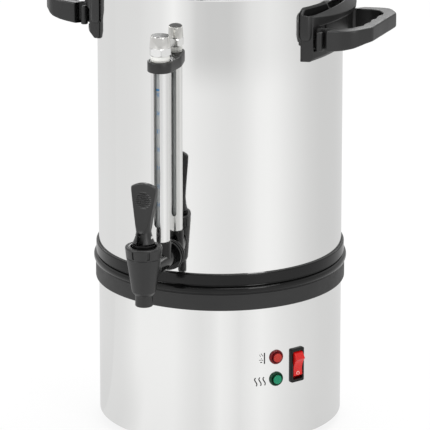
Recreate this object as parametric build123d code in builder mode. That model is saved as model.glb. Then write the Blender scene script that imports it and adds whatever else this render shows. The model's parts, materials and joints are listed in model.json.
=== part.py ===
"""Coffee urn: a percolating steel urn with a gauge tube, a push-down tap and a heater base.

Millimetres, +Z up. The origin is on the table under the urn's axis, and the tap points along -Y.
Angles round the axis are measured from the tap, towards +X.
"""

from build123d import *
from math import cos, radians, sin, sqrt
import os

os.makedirs("parts", exist_ok=True)

# ---- Driving dimensions -------------------------------------------------------------------------

# Body
body_radius = 105.0  # outside of the tank wall and of the base shell
sheet = 0.8  # stainless sheet
ring_fit = 0.1  # radial clearance of rings on the body
rest_gap = 0.3  # air between pieces that lift apart
foot_ring_inset = 13.0
foot_ring_width = 8.0
foot_height = 7.0  # table to the base shell's lower edge
base_height = 121.0  # base shell below the band
hem_width = 7.0
shell_tuck = 8.0  # base shell inside the band
shelf_height = 5.0
shelf_width = 9.0
tank_height = 239.0  # tank wall between the band and the rim
rim_height = 6.0
rim_overhang = 2.8
rim_rounding = 2.2

# Band
label_height = 14.4
label_stand = 2.8
bulge_height = 6.6
bulge_stand = 4.4
bulge_rounding = 1.6
groove_height = 1.6
groove_stand = 1.1
lip_height = 9.4
lip_stand = 2.3
lip_rounding = 2.0

# Tank floor and heater
floor_rise = 1.0  # tank floor above the band's top
floor_thickness = 1.0
well_radius = 22.0
well_depth = 14.0
well_flange = 4.0
element_radius = 20.0
element_height = 10.0
stud_radius = 3.0
stud_clearance = 0.2
plate_thickness = 2.0
nut_height = 5.0
nut_radius = 5.5
warm_ring_radius = 38.0
warm_ring_section = 7.0
thermostat_reach = 64.0
thermostat_radius = 10.0
thermostat_height = 8.0
fuse_radius = 3.0
fuse_length = 12.0
terminal_size = (36.0, 16.0, 14.0)
terminal_place = (-35.0, 40.0)
terminal_bore = 2.0

# Cord inlet, at the back
inlet_angle = 180.0
inlet_rise = 25.0  # above the base shell's lower edge
inlet_bore = 3.7
inlet_barrel = 6.1
inlet_flange = 9.0
inlet_nose = 12.0
inlet_depth = 10.0
inlet_snap = 1.1

# Percolator
tube_radius = 5.5
tube_wall = 0.8
tube_top_gap = 9.0  # rim top to the tube's mouth
foot_disc_gap = 2.9
foot_disc_thickness = 2.0
foot_hub_radius = 8.0
foot_hub_height = 9.0
basket_radius = 62.0
basket_height = 56.0
basket_below_rim = 17.0  # basket's top edge below the rim's top
basket_hole = 1.5
basket_sleeve = 1.0
collar_width = 3.5
collar_height = 2.0
spreader_thickness = 0.8

# Lid
lid_overhang = 0.4
lid_plug_gap = 0.9
lid_plug_depth = 6.0
lid_dome = 9.0
knob_radius = 21.0
knob_stem_radius = 10.0
knob_height = 29.0
knob_stem_height = 11.0
knob_rounding = 4.0
knob_screw_radius = 2.5
knob_screw_length = 16.0

# Handles, one moulding used twice
plate_drop = 27.0  # plate's top below the rim's top
plate_height = 36.5
plate_start = -27.0  # degrees from the handle's own axis
plate_end = 37.5
plate_stand = 7.3
plate_chamfer = 4.0
pad_start = -19.0
pad_end = 34.0
pad_stand = 9.0
flange_stand = 14.0
flange_height = 5.0
flange_start = -25.0
flange_end = 36.0
cup_start = -28.5
cup_stop = -7.0
cup_back_start = 23.5
cup_back_stop = 39.5
cup_wall = 1.6
cup_gap = 3.5
cup_margin = 1.0  # degrees of wall at each end of a cup
cup_depth = 16.0  # below the plate's top
cup_back_rise = 8.0
loop_drop = 8.0  # loop's top below the plate's top
loop_root_drop = 9.8
loop_tip_height = 12.0
loop_root_height = 20.0
loop_stand = 45.5  # end of the loop from the body
loop_shoulder_stand = 35.0
loop_half_width = 44.5
loop_end_half = 26.0
loop_arm = 8.5
loop_grip = 11.5
loop_taper_stand = 12.0
scallop_count = 4
scallop_pitch = 14.0
scallop_radius = 8.0
scallop_depth = 1.4
bead_radius = 3.0
handle_screw_angles = (-9.0, 24.0)
handle_screw_rise = 10.5  # above the plate's lower edge
handle_screw_radius = 2.0
handle_screw_head = 4.0
handle_screw_bite = 7.0

# Tap
tap_gap = 9.3  # between the tap's collar and the gauge's boss
shank_rise = 15.0  # above the band
shank_radius = 9.0
shank_bore = 5.5
shank_flange_radius = 12.5
shank_flange = 3.0
gasket_thickness = 2.0
gasket_radius = 13.0
spigot_radius = 7.4
socket_radius = 10.2
socket_length = 14.0
thread_inside = 17.0  # shank inside the body
thread_play = 0.05
shank_nut_flats = 24.0
shank_nut_height = 8.0
spout_drop = 29.5  # spout's end below the shank's axis
spout_radius = 7.4
spout_bore = 5.0
spout_length = 10.0
shoulder_height = 4.5
shoulder_rounding = 1.1
cone_bottom_radius = 9.5
cone_height = 27.5
cone_top_radius = 13.8
chamber_radius = 10.4
neck_radius = 12.4
neck_height = 7.0
collar_bottom_radius = 14.9
collar_top_radius = 15.8
bonnet_height = 9.8
bonnet_lip = 2.3
bonnet_notches = 10
bonnet_notch_width = 2.2
bonnet_notch_depth = 0.7
stem_radius = 2.5
bush_radius = 9.9
bush_stand = 2.3  # above the collar
pin_rise = 5.4  # above the bush
pin_radius = 1.5
pin_play = 0.06
pin_reach = 7.6
tongue_width = 4.4
tongue_depth = 5.0
tongue_rise = 3.0  # above the pin
lever_clearance = 0.7
lever_skirt_height = 3.0
lever_skirt_taper = 0.3
lever_skirt_radius = 9.15
lever_waist_rise = 10.7  # above the lever's foot
lever_waist_half = 6.4
lever_waist_depth = 5.4
lever_height = 51.2
lever_top_half = 11.3
lever_tip_depth = 3.2
lever_corner_drop = 3.2
lever_slot = 5.4
lever_slot_height = 9.7
lever_rounding = 1.2
lever_flare = 0.4
lever_root = 4.0  # lever's blade below its waist
lever_neck_drop = 1.5
seat_wall = 2.0  # cone wall round the seat
seat_step = 1.5
seat_clearance = 0.4
seat_thickness = 3.0
seat_cone = 4.0
piston_thickness = 2.5
piston_drop = 3.5  # below the cone's top
piston_cone = 2.0
spring_wire = 0.5
spring_radius = 5.4
spring_turns = 4.0

# Gauge
gauge_stand = 18.0  # gauge axis from the body
boss_radius = 8.9
boss_height = 17.0  # above the shank's axis
boss_counterbore = 11.0
boss_bore = 6.4
glass_radius = 4.6
glass_bore = 3.4
glass_stand = 3.0  # above the bracket
upper_seal_below = 5.0
upper_seal_above = 1.0
seal_play = 0.05
guard_radius = 7.85
guard_wall = 0.95
guard_slot = 5.4
guard_slot_rise = 13.5  # above the boss
guard_slot_margin = 6.0  # slot's top end below the bracket's top
bracket_drop = 65.0  # below the rim's top
bracket_height = 9.0
bracket_radius = 10.6
bracket_recess = 2.5
washer_radius = 8.1
washer_height = 5.0
gauge_nut_flats = 17.2
gauge_nut_height = 7.0
gauge_nut_chamfer = 1.1
nipple_wall = 1.2
nipple_below = 10.0
nipple_above = 5.0
cap_height = 9.6
cap_bottom_radius = 8.9
cap_top_radius = 7.9
cap_disc_radius = 7.3
cap_disc_height = 1.4
cap_disc_stand = 0.2

# Controls on the base
lamp_angle = 51.0
lamp_rises = {"red": 75.4, "green": 55.8}  # above the base shell's lower edge
lamp_radius = 6.8
lamp_rim = 2.4
lamp_barrel = 5.4
lamp_depth = 18.0
lens_radius = 4.1
lens_stand = 3.6
switch_angle = 62.4
switch_rise = 64.9
switch_size = (14.6, 30.2)
switch_rim = 2.2
switch_corner = 1.2
switch_depth = 20.0
switch_body = (12.4, 27.6)
rocker_width = 9.2
rocker_play = 0.3
rocker_reach = 12.1
rocker_pivot_depth = 2.0
rocker_pin = 1.2
rocker_end_angle = 12.0
rocker_peak_angle = 39.7
rocker_peak_reach = 10.1
rocker_valley = 2.4
rocker_tilt = 12.5
rocker_skirt = 5.0
panel_clearance = 0.2

# ---- Levels and radii worked out from them ------------------------------------------------------

tank_inner = body_radius - sheet
base_bottom = foot_height
band_bottom = base_bottom + base_height
bulge_bottom = band_bottom + label_height
groove_bottom = bulge_bottom + bulge_height
lip_bottom = groove_bottom + groove_height
band_top = lip_bottom + lip_height
shelf_bottom = band_bottom + shell_tuck
tank_foot = shelf_bottom + shelf_height
rim_bottom = band_top + tank_height
rim_top = rim_bottom + rim_height
rim_radius = body_radius + rim_overhang
floor_top = band_top + floor_rise
floor_bottom = floor_top - floor_thickness
well_bottom = floor_top - well_depth
well_inner = well_radius - ring_fit - floor_thickness
foot_ring_radius = body_radius - foot_ring_inset
inlet_height = base_bottom + inlet_rise
switch_height = base_bottom + switch_rise
lamp_heights = {name: base_bottom + rise for name, rise in lamp_rises.items()}
shank_height = band_top + shank_rise
thread_end = body_radius - thread_inside
gauge_reach = body_radius + gauge_stand
tap_reach = gauge_reach + boss_radius + tap_gap + collar_top_radius
plate_top = rim_top - plate_drop
handle_bottom = plate_top - plate_height
handle_screw_height = handle_bottom + handle_screw_rise
bracket_bottom = rim_top - bracket_drop
plate_bottom = base_bottom + sheet
plate_upper = plate_bottom + plate_thickness
ring_inner = body_radius + ring_fit


def round_the_urn(angle, radius, height):
    """A plane that faces outwards: x runs round the urn, y up and z away from the axis."""
    turn = radians(angle)
    return Plane(
        origin=(radius * sin(turn), -radius * cos(turn), height),
        x_dir=(cos(turn), sin(turn), 0),
        z_dir=(sin(turn), -cos(turn), 0),
    )


def ring_sector(start, end, *outline):
    """Part of a ring between two angles (degrees from +X) with an outline of (radius, height) points."""
    with BuildPart(mode=Mode.PRIVATE) as sector:
        with BuildSketch(Plane.XZ.rotated((0, 0, start))):
            Polygon(*outline, align=None)
        revolve(axis=Axis.Z, revolution_arc=end - start)
    return sector.part


def box_outline(inner, outer, bottom, top):
    """The four corners of a plain section, for ring_sector."""
    return [(inner, bottom), (outer, bottom), (outer, top), (inner, top)]


inlet_plane = round_the_urn(inlet_angle, body_radius, inlet_height)
lamp_planes = {name: round_the_urn(lamp_angle, body_radius, z) for name, z in lamp_heights.items()}
switch_plane = round_the_urn(switch_angle, body_radius, switch_height)
tap_plane = Plane.XZ.offset(tap_reach)
tap_axis = Axis((0, -tap_reach, 0), (0, 0, 1))
gauge_plane = Plane.XZ.offset(gauge_reach)
gauge_axis = Axis((0, -gauge_reach, 0), (0, 0, 1))

# ---- Base ---------------------------------------------------------------------------------------

with BuildPart() as foot_ring:
    with BuildSketch():
        Circle(foot_ring_radius)
        Circle(foot_ring_radius - foot_ring_width, mode=Mode.SUBTRACT)
    extrude(amount=plate_bottom)

with BuildPart() as base_shell:
    with BuildSketch(Plane.XZ):
        Polygon(
            (body_radius - hem_width, base_bottom),
            (body_radius, base_bottom),
            (body_radius, shelf_bottom),
            (tank_inner, shelf_bottom),
            (tank_inner, plate_bottom),
            (body_radius - hem_width, plate_bottom),
            align=None,
        )
    revolve(axis=Axis.Z)
    for plane in lamp_planes.values():
        with BuildSketch(plane):
            Circle(lamp_barrel + panel_clearance)
        extrude(amount=lamp_radius, both=True, mode=Mode.SUBTRACT)
    with BuildSketch(switch_plane):
        Rectangle(switch_body[0] + 2 * panel_clearance, switch_body[1] + 2 * panel_clearance)
    extrude(amount=switch_depth, both=True, mode=Mode.SUBTRACT)
    with BuildSketch(inlet_plane):
        Circle(inlet_barrel + ring_fit)
    extrude(amount=inlet_depth, both=True, mode=Mode.SUBTRACT)

with BuildPart() as base_plate:
    with BuildSketch(Plane.XY.offset(plate_bottom)):
        Circle(tank_inner - ring_fit)
        Circle(stud_radius + stud_clearance, mode=Mode.SUBTRACT)
    extrude(amount=plate_thickness)

with BuildPart() as tie_stud:
    with BuildSketch(Plane.XY.offset(plate_bottom - nut_height)):
        Circle(stud_radius)
    extrude(amount=well_bottom - plate_bottom + nut_height)

with BuildPart() as tie_nut:
    with BuildSketch(Plane.XY.offset(plate_bottom - nut_height)):
        RegularPolygon(nut_radius, 6)
        Circle(stud_radius, mode=Mode.SUBTRACT)
    extrude(amount=nut_height)

with BuildPart() as terminal_block:
    with BuildSketch(Plane.XY.offset(plate_upper)):
        with Locations(terminal_place):
            Rectangle(terminal_size[0], terminal_size[1])
    extrude(amount=terminal_size[2])
    with Locations((*terminal_place, plate_upper + terminal_size[2])):
        with GridLocations(terminal_size[0] / 3, terminal_size[1] / 2, 3, 2):
            Hole(terminal_bore, depth=terminal_size[2] / 2)

with BuildPart() as inlet_gland:
    with BuildSketch(inlet_plane):
        Circle(inlet_flange)
    extrude(amount=sheet * 2)
    with BuildSketch(inlet_plane.offset(sheet * 2)):
        Circle(inlet_barrel + inlet_snap)
    extrude(amount=inlet_nose - sheet * 2, taper=8)
    with BuildSketch(inlet_plane):
        Circle(inlet_barrel)
    extrude(amount=-inlet_depth)
    with BuildSketch(inlet_plane.offset(-2 * sheet)):
        Circle(inlet_barrel + inlet_snap)
    extrude(amount=-2 * sheet)
    with BuildSketch(inlet_plane.offset(inlet_nose)):
        Circle(inlet_bore)
    extrude(amount=-inlet_nose - inlet_depth, mode=Mode.SUBTRACT)

# ---- Band ---------------------------------------------------------------------------------------

label_radius = body_radius + label_stand
bulge_radius = body_radius + bulge_stand
groove_radius = body_radius + groove_stand
lip_radius = body_radius + lip_stand

with BuildPart() as label_band:
    with BuildSketch(Plane.XZ) as section:
        Polygon(
            (ring_inner, band_bottom),
            (label_radius, band_bottom),
            (label_radius, bulge_bottom),
            (bulge_radius, bulge_bottom),
            (bulge_radius, groove_bottom),
            (groove_radius, groove_bottom),
            (groove_radius, lip_bottom),
            (ring_inner, lip_bottom),
            (ring_inner, tank_foot),
            (body_radius - shelf_width, tank_foot),
            (body_radius - shelf_width, shelf_bottom),
            (ring_inner, shelf_bottom),
            align=None,
        )
        bulge_corners = section.vertices().filter_by(lambda v: v.X > bulge_radius - ring_fit)
        fillet(bulge_corners, bulge_rounding)
    revolve(axis=Axis.Z)

with BuildPart() as band_lip:
    with BuildSketch(Plane.XZ) as section:
        Polygon(
            (ring_inner, lip_bottom),
            (lip_radius, lip_bottom),
            (lip_radius, band_top),
            (ring_inner, band_top),
            align=None,
        )
        fillet(section.vertices().group_by(Axis.X)[-1].group_by(Axis.Y)[-1], lip_rounding)
    revolve(axis=Axis.Z)

# ---- Tank ---------------------------------------------------------------------------------------

bracket_middle = bracket_bottom + bracket_height / 2
handle_screw_planes = [
    round_the_urn(90 + angle + side, body_radius, handle_screw_height)
    for side in (0, 180)
    for angle in handle_screw_angles
]
bracket_screw_plane = round_the_urn(0, body_radius, bracket_middle)
shank_plane = round_the_urn(0, 0, shank_height)

with BuildPart() as tank:
    with BuildSketch(Plane.XZ) as section:
        Polygon(
            (tank_inner, tank_foot),
            (body_radius, tank_foot),
            (body_radius, rim_bottom),
            (rim_radius, rim_bottom),
            (rim_radius, rim_top),
            (tank_inner, rim_top),
            align=None,
        )
        fillet(section.vertices().group_by(Axis.X)[-1], rim_rounding)
    revolve(axis=Axis.Z)
    for plane in [*handle_screw_planes, bracket_screw_plane]:
        with BuildSketch(plane):
            Circle(handle_screw_radius + ring_fit)
        extrude(amount=handle_screw_head, both=True, mode=Mode.SUBTRACT)
    with BuildSketch(shank_plane.offset(thread_end)):
        Circle(shank_radius + ring_fit)
    extrude(amount=body_radius - thread_end + sheet, mode=Mode.SUBTRACT)

with BuildPart() as tank_floor:
    with BuildSketch(Plane.XY.offset(floor_bottom)):
        Circle(tank_inner)
        Circle(well_radius, mode=Mode.SUBTRACT)
    extrude(amount=floor_thickness)

with BuildPart() as heat_well:
    with BuildSketch(Plane.XZ):
        Polygon(
            (0, well_bottom),
            (well_radius - ring_fit, well_bottom),
            (well_radius - ring_fit, floor_top),
            (well_radius + well_flange, floor_top),
            (well_radius + well_flange, floor_top + sheet),
            (well_inner, floor_top + sheet),
            (well_inner, well_bottom + floor_thickness),
            (0, well_bottom + floor_thickness),
            align=None,
        )
    revolve(axis=Axis.Z)

# ---- Heaters and controls under the tank --------------------------------------------------------

with BuildPart() as brew_element:
    with BuildSketch(Plane.XY.offset(well_bottom - element_height)):
        Circle(element_radius)
        Circle(stud_radius + stud_clearance, mode=Mode.SUBTRACT)
    extrude(amount=element_height)
    fillet(brew_element.edges().filter_by(GeomType.CIRCLE).group_by(Axis.Z)[0].sort_by(SortBy.RADIUS)[-1], sheet)

with BuildPart() as warm_element:
    with BuildSketch(Plane.XZ) as section:
        with Locations((warm_ring_radius, floor_bottom - warm_ring_section / 2)):
            RectangleRounded(warm_ring_section, warm_ring_section, warm_ring_section / 4)
    revolve(axis=Axis.Z)


def thermostat(x):
    """A disc thermostat, its cap against the tank floor and two flat terminals below."""
    with BuildPart(mode=Mode.PRIVATE) as disc:
        with BuildSketch(Plane.XY.offset(floor_bottom - thermostat_height)):
            with Locations((x, 0)):
                Circle(thermostat_radius)
        extrude(amount=thermostat_height)
        with BuildSketch(Plane.XY.offset(floor_bottom - thermostat_height)):
            with Locations((x, 0)):
                with GridLocations(0, thermostat_radius, 1, 2):
                    Rectangle(thermostat_radius / 2, sheet)
        extrude(amount=-thermostat_height)
    return disc.part


brew_disc = thermostat(thermostat_reach)
warm_disc = thermostat(-thermostat_reach)
with BuildPart() as brew_thermostat:
    add(brew_disc)
with BuildPart() as warm_thermostat:
    add(warm_disc)

with BuildPart() as thermal_fuse:
    with BuildSketch(Plane.YZ.offset(-fuse_length / 2)):
        with Locations((thermostat_reach, floor_bottom - fuse_radius)):
            Circle(fuse_radius)
    extrude(amount=fuse_length)

# ---- Percolator ---------------------------------------------------------------------------------

tube_top = rim_top - tube_top_gap
basket_top = rim_top - basket_below_rim
basket_bottom = basket_top - basket_height
foot_disc_radius = well_inner - foot_disc_gap
foot_disc_bottom = well_bottom + floor_thickness + rest_gap
foot_hub_top = foot_disc_bottom + foot_disc_thickness + foot_hub_height
sleeve_radius = tube_radius + ring_fit + basket_sleeve

with BuildPart() as riser_tube:
    with BuildSketch(Plane.XY.offset(foot_disc_bottom + foot_disc_thickness)):
        Circle(tube_radius)
    extrude(amount=tube_top - foot_disc_bottom - foot_disc_thickness)
    with BuildSketch(Plane.XY.offset(basket_bottom - collar_height)):
        Circle(tube_radius + collar_width)
    extrude(amount=collar_height)
    with BuildSketch(Plane.XY.offset(foot_disc_bottom)):
        Circle(tube_radius - tube_wall)
    extrude(amount=tube_top, mode=Mode.SUBTRACT)

with BuildPart() as pump_foot:
    with BuildSketch(Plane.XY.offset(foot_disc_bottom)):
        Circle(foot_disc_radius)
        Circle(tube_radius - tube_wall, mode=Mode.SUBTRACT)
        with PolarLocations((foot_hub_radius + foot_disc_radius) / 2, 8):
            Circle(foot_disc_thickness, mode=Mode.SUBTRACT)
    extrude(amount=foot_disc_thickness)
    with BuildSketch(Plane.XY.offset(foot_disc_bottom + foot_disc_thickness)):
        Circle(foot_hub_radius)
        Circle(tube_radius, mode=Mode.SUBTRACT)
    extrude(amount=foot_hub_height)

basket_rings = [(8, 0.4), (16, 0.75)]  # holes in each ring, and the ring's share of the radius

with BuildPart() as filter_basket:
    with BuildSketch(Plane.XZ):
        Polygon(
            (sleeve_radius, basket_bottom),
            (basket_radius, basket_bottom),
            (basket_radius, basket_top),
            (basket_radius - sheet, basket_top),
            (basket_radius - sheet, basket_bottom + sheet),
            (sleeve_radius, basket_bottom + sheet),
            align=None,
        )
    revolve(axis=Axis.Z)
    with BuildSketch(Plane.XY.offset(basket_bottom)):
        for count, share in basket_rings:
            with PolarLocations(share * basket_radius, count):
                Circle(basket_hole)
    extrude(amount=sheet, mode=Mode.SUBTRACT)

with BuildPart() as basket_sleeve:
    with BuildSketch(Plane.XY.offset(basket_bottom)):
        Circle(sleeve_radius)
        Circle(tube_radius + ring_fit, mode=Mode.SUBTRACT)
    extrude(amount=basket_height)

with BuildPart() as basket_spreader:
    with BuildSketch(Plane.XY.offset(basket_top)):
        Circle(basket_radius + sheet)
        Circle(tube_radius + ring_fit, mode=Mode.SUBTRACT)
        for count, share in basket_rings:
            with PolarLocations(share * basket_radius, count):
                Circle(basket_hole, mode=Mode.SUBTRACT)
    extrude(amount=spreader_thickness)

# ---- Lid ----------------------------------------------------------------------------------------

lid_radius = rim_radius + lid_overhang
lid_bottom = rim_top + rest_gap
lid_plug_radius = tank_inner - lid_plug_gap
lid_valley = lid_bottom - lid_plug_depth
lid_crown = lid_bottom + lid_dome
knob_seat_radius = knob_stem_radius + sheet

with BuildPart() as lid:
    with BuildSketch(Plane.XZ):
        with BuildLine():
            upper = ThreePointArc(
                (lid_plug_radius - 3 * sheet, lid_valley + sheet),
                (0.6 * lid_plug_radius, lid_crown - 0.35 * (lid_crown - lid_valley) + sheet),
                (knob_seat_radius, lid_crown + sheet),
            )
            Line(upper @ 1, (knob_screw_radius, lid_crown + sheet))
            Line((knob_screw_radius, lid_crown + sheet), (knob_screw_radius, lid_crown))
            Line((knob_screw_radius, lid_crown), (knob_seat_radius, lid_crown))
            lower = ThreePointArc(
                (knob_seat_radius, lid_crown),
                (0.6 * lid_plug_radius, lid_crown - 0.35 * (lid_crown - lid_valley)),
                (lid_plug_radius - 2 * sheet, lid_valley),
            )
            Polyline(
                lower @ 1,
                (lid_plug_radius, lid_valley),
                (lid_plug_radius, lid_bottom),
                (lid_radius, lid_bottom),
                (lid_radius, lid_bottom + sheet),
                (lid_plug_radius - sheet, lid_bottom + sheet),
                (lid_plug_radius - sheet, lid_valley + sheet),
                upper @ 0,
            )
        make_face()
    revolve(axis=Axis.Z)

with BuildPart() as lid_knob:
    with BuildSketch(Plane.XZ) as section:
        Polygon(
            (0, lid_crown + sheet),
            (knob_stem_radius, lid_crown + sheet),
            (0.8 * knob_stem_radius, lid_crown + sheet + knob_stem_height),
            (knob_radius, lid_crown + sheet + 1.3 * knob_stem_height),
            (knob_radius, lid_crown + sheet + knob_height),
            (0, lid_crown + sheet + knob_height),
            align=None,
        )
        fillet(section.vertices().group_by(Axis.X)[-1], knob_rounding)
    revolve(axis=Axis.Z)
    with BuildSketch(Plane.XY.offset(lid_crown)):
        Circle(knob_screw_radius)
    extrude(amount=knob_screw_length, mode=Mode.SUBTRACT)

with BuildPart() as knob_screw:
    with BuildSketch(Plane.XY.offset(lid_crown)):
        Circle(knob_screw_radius)
    extrude(amount=knob_screw_length)
    with BuildSketch(Plane.XY.offset(lid_crown)):
        Circle(2 * knob_screw_radius)
    extrude(amount=-knob_screw_radius)

# ---- Handles ------------------------------------------------------------------------------------

cup_bottom = plate_top - cup_depth
cup_top = plate_top + cup_back_rise
loop_top = plate_top - loop_drop
loop_root_top = plate_top - loop_root_drop
loop_tip_bottom = loop_top - loop_tip_height
loop_root_bottom = loop_top - loop_root_height
loop_reach = body_radius + loop_stand
loop_shoulder = body_radius + loop_shoulder_stand
loop_taper_start = body_radius + loop_taper_stand
loop_root = sqrt(body_radius**2 - loop_half_width**2) - plate_stand
cup_inner = ring_inner + cup_wall
cup_outer = cup_inner + cup_gap
pad_radius = body_radius + pad_stand
flange_radius = body_radius + flange_stand
grip_inside = loop_reach - loop_grip

mount_plate = ring_sector(
    plate_start,
    plate_end,
    (ring_inner, handle_bottom),
    (body_radius + plate_stand - plate_chamfer / 2, handle_bottom),
    (body_radius + plate_stand, handle_bottom + plate_chamfer / 2),
    (body_radius + plate_stand, plate_top),
    (ring_inner, plate_top),
)
mount_pad = ring_sector(
    pad_start,
    pad_end,
    (ring_inner, handle_bottom),
    (pad_radius - plate_chamfer, handle_bottom),
    (pad_radius, handle_bottom + plate_chamfer),
    (pad_radius, plate_top),
    (ring_inner, plate_top),
)
top_flange = ring_sector(
    flange_start,
    flange_end,
    *box_outline(ring_inner, flange_radius, plate_top - flange_height, plate_top),
)
cup_spans = ((cup_start, cup_stop), (cup_back_start, cup_back_stop))
cup_block = box_outline(ring_inner, cup_outer + cup_wall, cup_bottom, plate_top)
cup_back = box_outline(ring_inner, cup_inner, cup_bottom, cup_top)
cup_hollow = box_outline(cup_inner, cup_outer, cup_bottom + cup_wall, cup_top)
cups = [ring_sector(start, stop, *cup_block) for start, stop in cup_spans]
cup_backs = [ring_sector(start, stop, *cup_back) for start, stop in cup_spans]
cup_hollows = [ring_sector(start + cup_margin, stop - cup_margin, *cup_hollow) for start, stop in cup_spans]

with BuildPart(mode=Mode.PRIVATE) as grip_loop:
    with BuildSketch(Plane.XY.offset(loop_root_bottom)) as plan:
        with BuildLine():
            Polyline(
                (loop_root, -loop_half_width),
                (loop_shoulder, -loop_half_width),
                (loop_reach, -loop_end_half),
                (loop_reach, loop_end_half),
                (loop_shoulder, loop_half_width),
                (loop_root, loop_half_width),
                close=True,
            )
        make_face()
        fillet(plan.vertices().group_by(Axis.X)[-1], loop_arm / 2)
        fillet(plan.vertices().filter_by(lambda v: abs(v.X - loop_shoulder) < ring_fit), loop_arm / 2)
    extrude(amount=loop_top - loop_root_bottom)
    with BuildSketch(Plane.XY.offset(loop_root_bottom)):
        with BuildLine():
            Polyline(
                (0, -loop_half_width + loop_arm),
                (loop_shoulder - loop_arm, -loop_half_width + loop_arm),
                (grip_inside, -loop_end_half),
                (grip_inside, loop_end_half),
                (loop_shoulder - loop_arm, loop_half_width - loop_arm),
                (0, loop_half_width - loop_arm),
                close=True,
            )
        make_face()
        with Locations((grip_inside + scallop_depth - scallop_radius, 0)):
            with GridLocations(0, scallop_pitch, 1, scallop_count):
                Circle(scallop_radius)
    extrude(amount=loop_top - loop_root_bottom, mode=Mode.SUBTRACT)
    with BuildSketch(Plane.XZ):
        Polygon(
            (loop_root, loop_root_bottom),
            (loop_taper_start, loop_root_bottom),
            (loop_shoulder, loop_tip_bottom),
            (loop_reach + ring_fit, loop_tip_bottom),
            (loop_reach + ring_fit, loop_top),
            (grip_inside, loop_top),
            (loop_taper_start, loop_root_top),
            (loop_root, loop_root_top),
            align=None,
        )
    extrude(amount=loop_half_width + ring_fit, both=True, mode=Mode.INTERSECT)

with BuildPart(mode=Mode.PRIVATE) as body_space:
    with BuildSketch(Plane.XY.offset(handle_bottom)):
        Circle(ring_inner)
    extrude(amount=rim_top - handle_bottom)

with BuildPart() as handle_right:
    add(grip_loop.part)
    add(body_space.part, mode=Mode.SUBTRACT)
    for block in (mount_plate, mount_pad, top_flange, *cups, *cup_backs):
        add(block)
    with BuildSketch(Plane.XY.offset(loop_root_bottom)):
        with Locations((pad_radius, -loop_half_width), (pad_radius, loop_half_width)):
            Circle(bead_radius)
    extrude(amount=plate_top - flange_height - loop_root_bottom)
    for hollow in cup_hollows:
        add(hollow, mode=Mode.SUBTRACT)
    for plane in handle_screw_planes[:2]:
        with BuildSketch(plane):
            Circle(handle_screw_radius)
        extrude(amount=handle_screw_bite, mode=Mode.SUBTRACT)

turned_handle = handle_right.part.rotate(Axis.Z, 180)
with BuildPart() as handle_left:
    add(turned_handle)


def wall_screw(plane):
    """A pan-head screw whose head bears on the inside of the tank wall."""
    with BuildPart(mode=Mode.PRIVATE) as screw:
        head_seat = tank_inner - body_radius - ring_fit
        with BuildSketch(plane.offset(head_seat)):
            Circle(handle_screw_radius)
        extrude(amount=handle_screw_bite - head_seat)
        with BuildSketch(plane.offset(head_seat)):
            Circle(handle_screw_head)
        extrude(amount=-handle_screw_radius, taper=15)
    return screw.part


handle_screw_parts = [wall_screw(plane) for plane in handle_screw_planes]
bracket_screw_part = wall_screw(bracket_screw_plane)
with BuildPart() as handle_screws:
    for screw in handle_screw_parts:
        add(screw)
with BuildPart() as bracket_screw:
    add(bracket_screw_part)

# ---- Tap ----------------------------------------------------------------------------------------

spout_bottom = shank_height - spout_drop
shoulder_bottom = spout_bottom + spout_length
cone_bottom = shoulder_bottom + shoulder_height
cone_top = cone_bottom + cone_height
boss_top = shank_height + boss_height
boss_seat = boss_top - boss_counterbore
gasket_inner_face = sqrt(tank_inner**2 - gasket_radius**2)
shank_flange_face = body_radius + gasket_thickness
socket_mouth = tap_reach - socket_length
spigot_length = socket_length - chamber_radius - rest_gap  # stops short of the piston
neck_top = cone_top + neck_height
bonnet_top = cone_top + bonnet_height
bush_top = bonnet_top + bush_stand
pin_height = bush_top + pin_rise
tongue_top = pin_height + tongue_rise
lever_bottom = bush_top + lever_clearance
lever_slot_top = lever_bottom + lever_slot_height
lever_waist_height = lever_bottom + lever_waist_rise
lever_top = lever_bottom + lever_height
lever_middle = (  # half-width and height of the blade's side, a little over half way up
    (lever_waist_half + lever_top_half) / 2,
    0.45 * lever_waist_height + 0.55 * lever_top,
)

with BuildPart() as shank_washer:
    with BuildSketch(shank_plane.offset(body_radius)):
        Circle(gasket_radius)
        Circle(shank_radius + thread_play, mode=Mode.SUBTRACT)
    extrude(amount=gasket_thickness)

with BuildPart() as shank_inner_washer:
    with BuildSketch(shank_plane.offset(gasket_inner_face)):
        Circle(gasket_radius)
        Circle(shank_radius + thread_play, mode=Mode.SUBTRACT)
    extrude(amount=-gasket_thickness)

with BuildPart() as shank_nut:
    with BuildSketch(shank_plane.offset(gasket_inner_face - gasket_thickness)):
        RegularPolygon(shank_nut_flats / 2, 6, major_radius=False)
        Circle(shank_radius + thread_play, mode=Mode.SUBTRACT)
    extrude(amount=-shank_nut_height)

with BuildPart() as tap_shank:
    with BuildSketch(shank_plane.offset(thread_end)):
        Circle(shank_radius)
    extrude(amount=socket_mouth - thread_end)
    with BuildSketch(shank_plane.offset(shank_flange_face)):
        Circle(shank_flange_radius)
    extrude(amount=shank_flange)
    with BuildSketch(shank_plane.offset(socket_mouth)):
        Circle(spigot_radius)
    extrude(amount=spigot_length)
    with BuildSketch(Plane.XY.offset(shank_height)):
        with Locations((0, -gauge_reach)):
            Circle(boss_radius)
    extrude(amount=boss_top - shank_height)
    with BuildSketch(shank_plane.offset(thread_end)):
        Circle(shank_bore)
    extrude(amount=socket_mouth + spigot_length - thread_end, mode=Mode.SUBTRACT)
    with BuildSketch(Plane.XY.offset(shank_height)):
        with Locations((0, -gauge_reach)):
            Circle(glass_bore)
    extrude(amount=boss_top - shank_height, mode=Mode.SUBTRACT)
    with BuildSketch(Plane.XY.offset(boss_seat)):
        with Locations((0, -gauge_reach)):
            Circle(boss_bore)
    extrude(amount=boss_top - boss_seat, mode=Mode.SUBTRACT)

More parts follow.
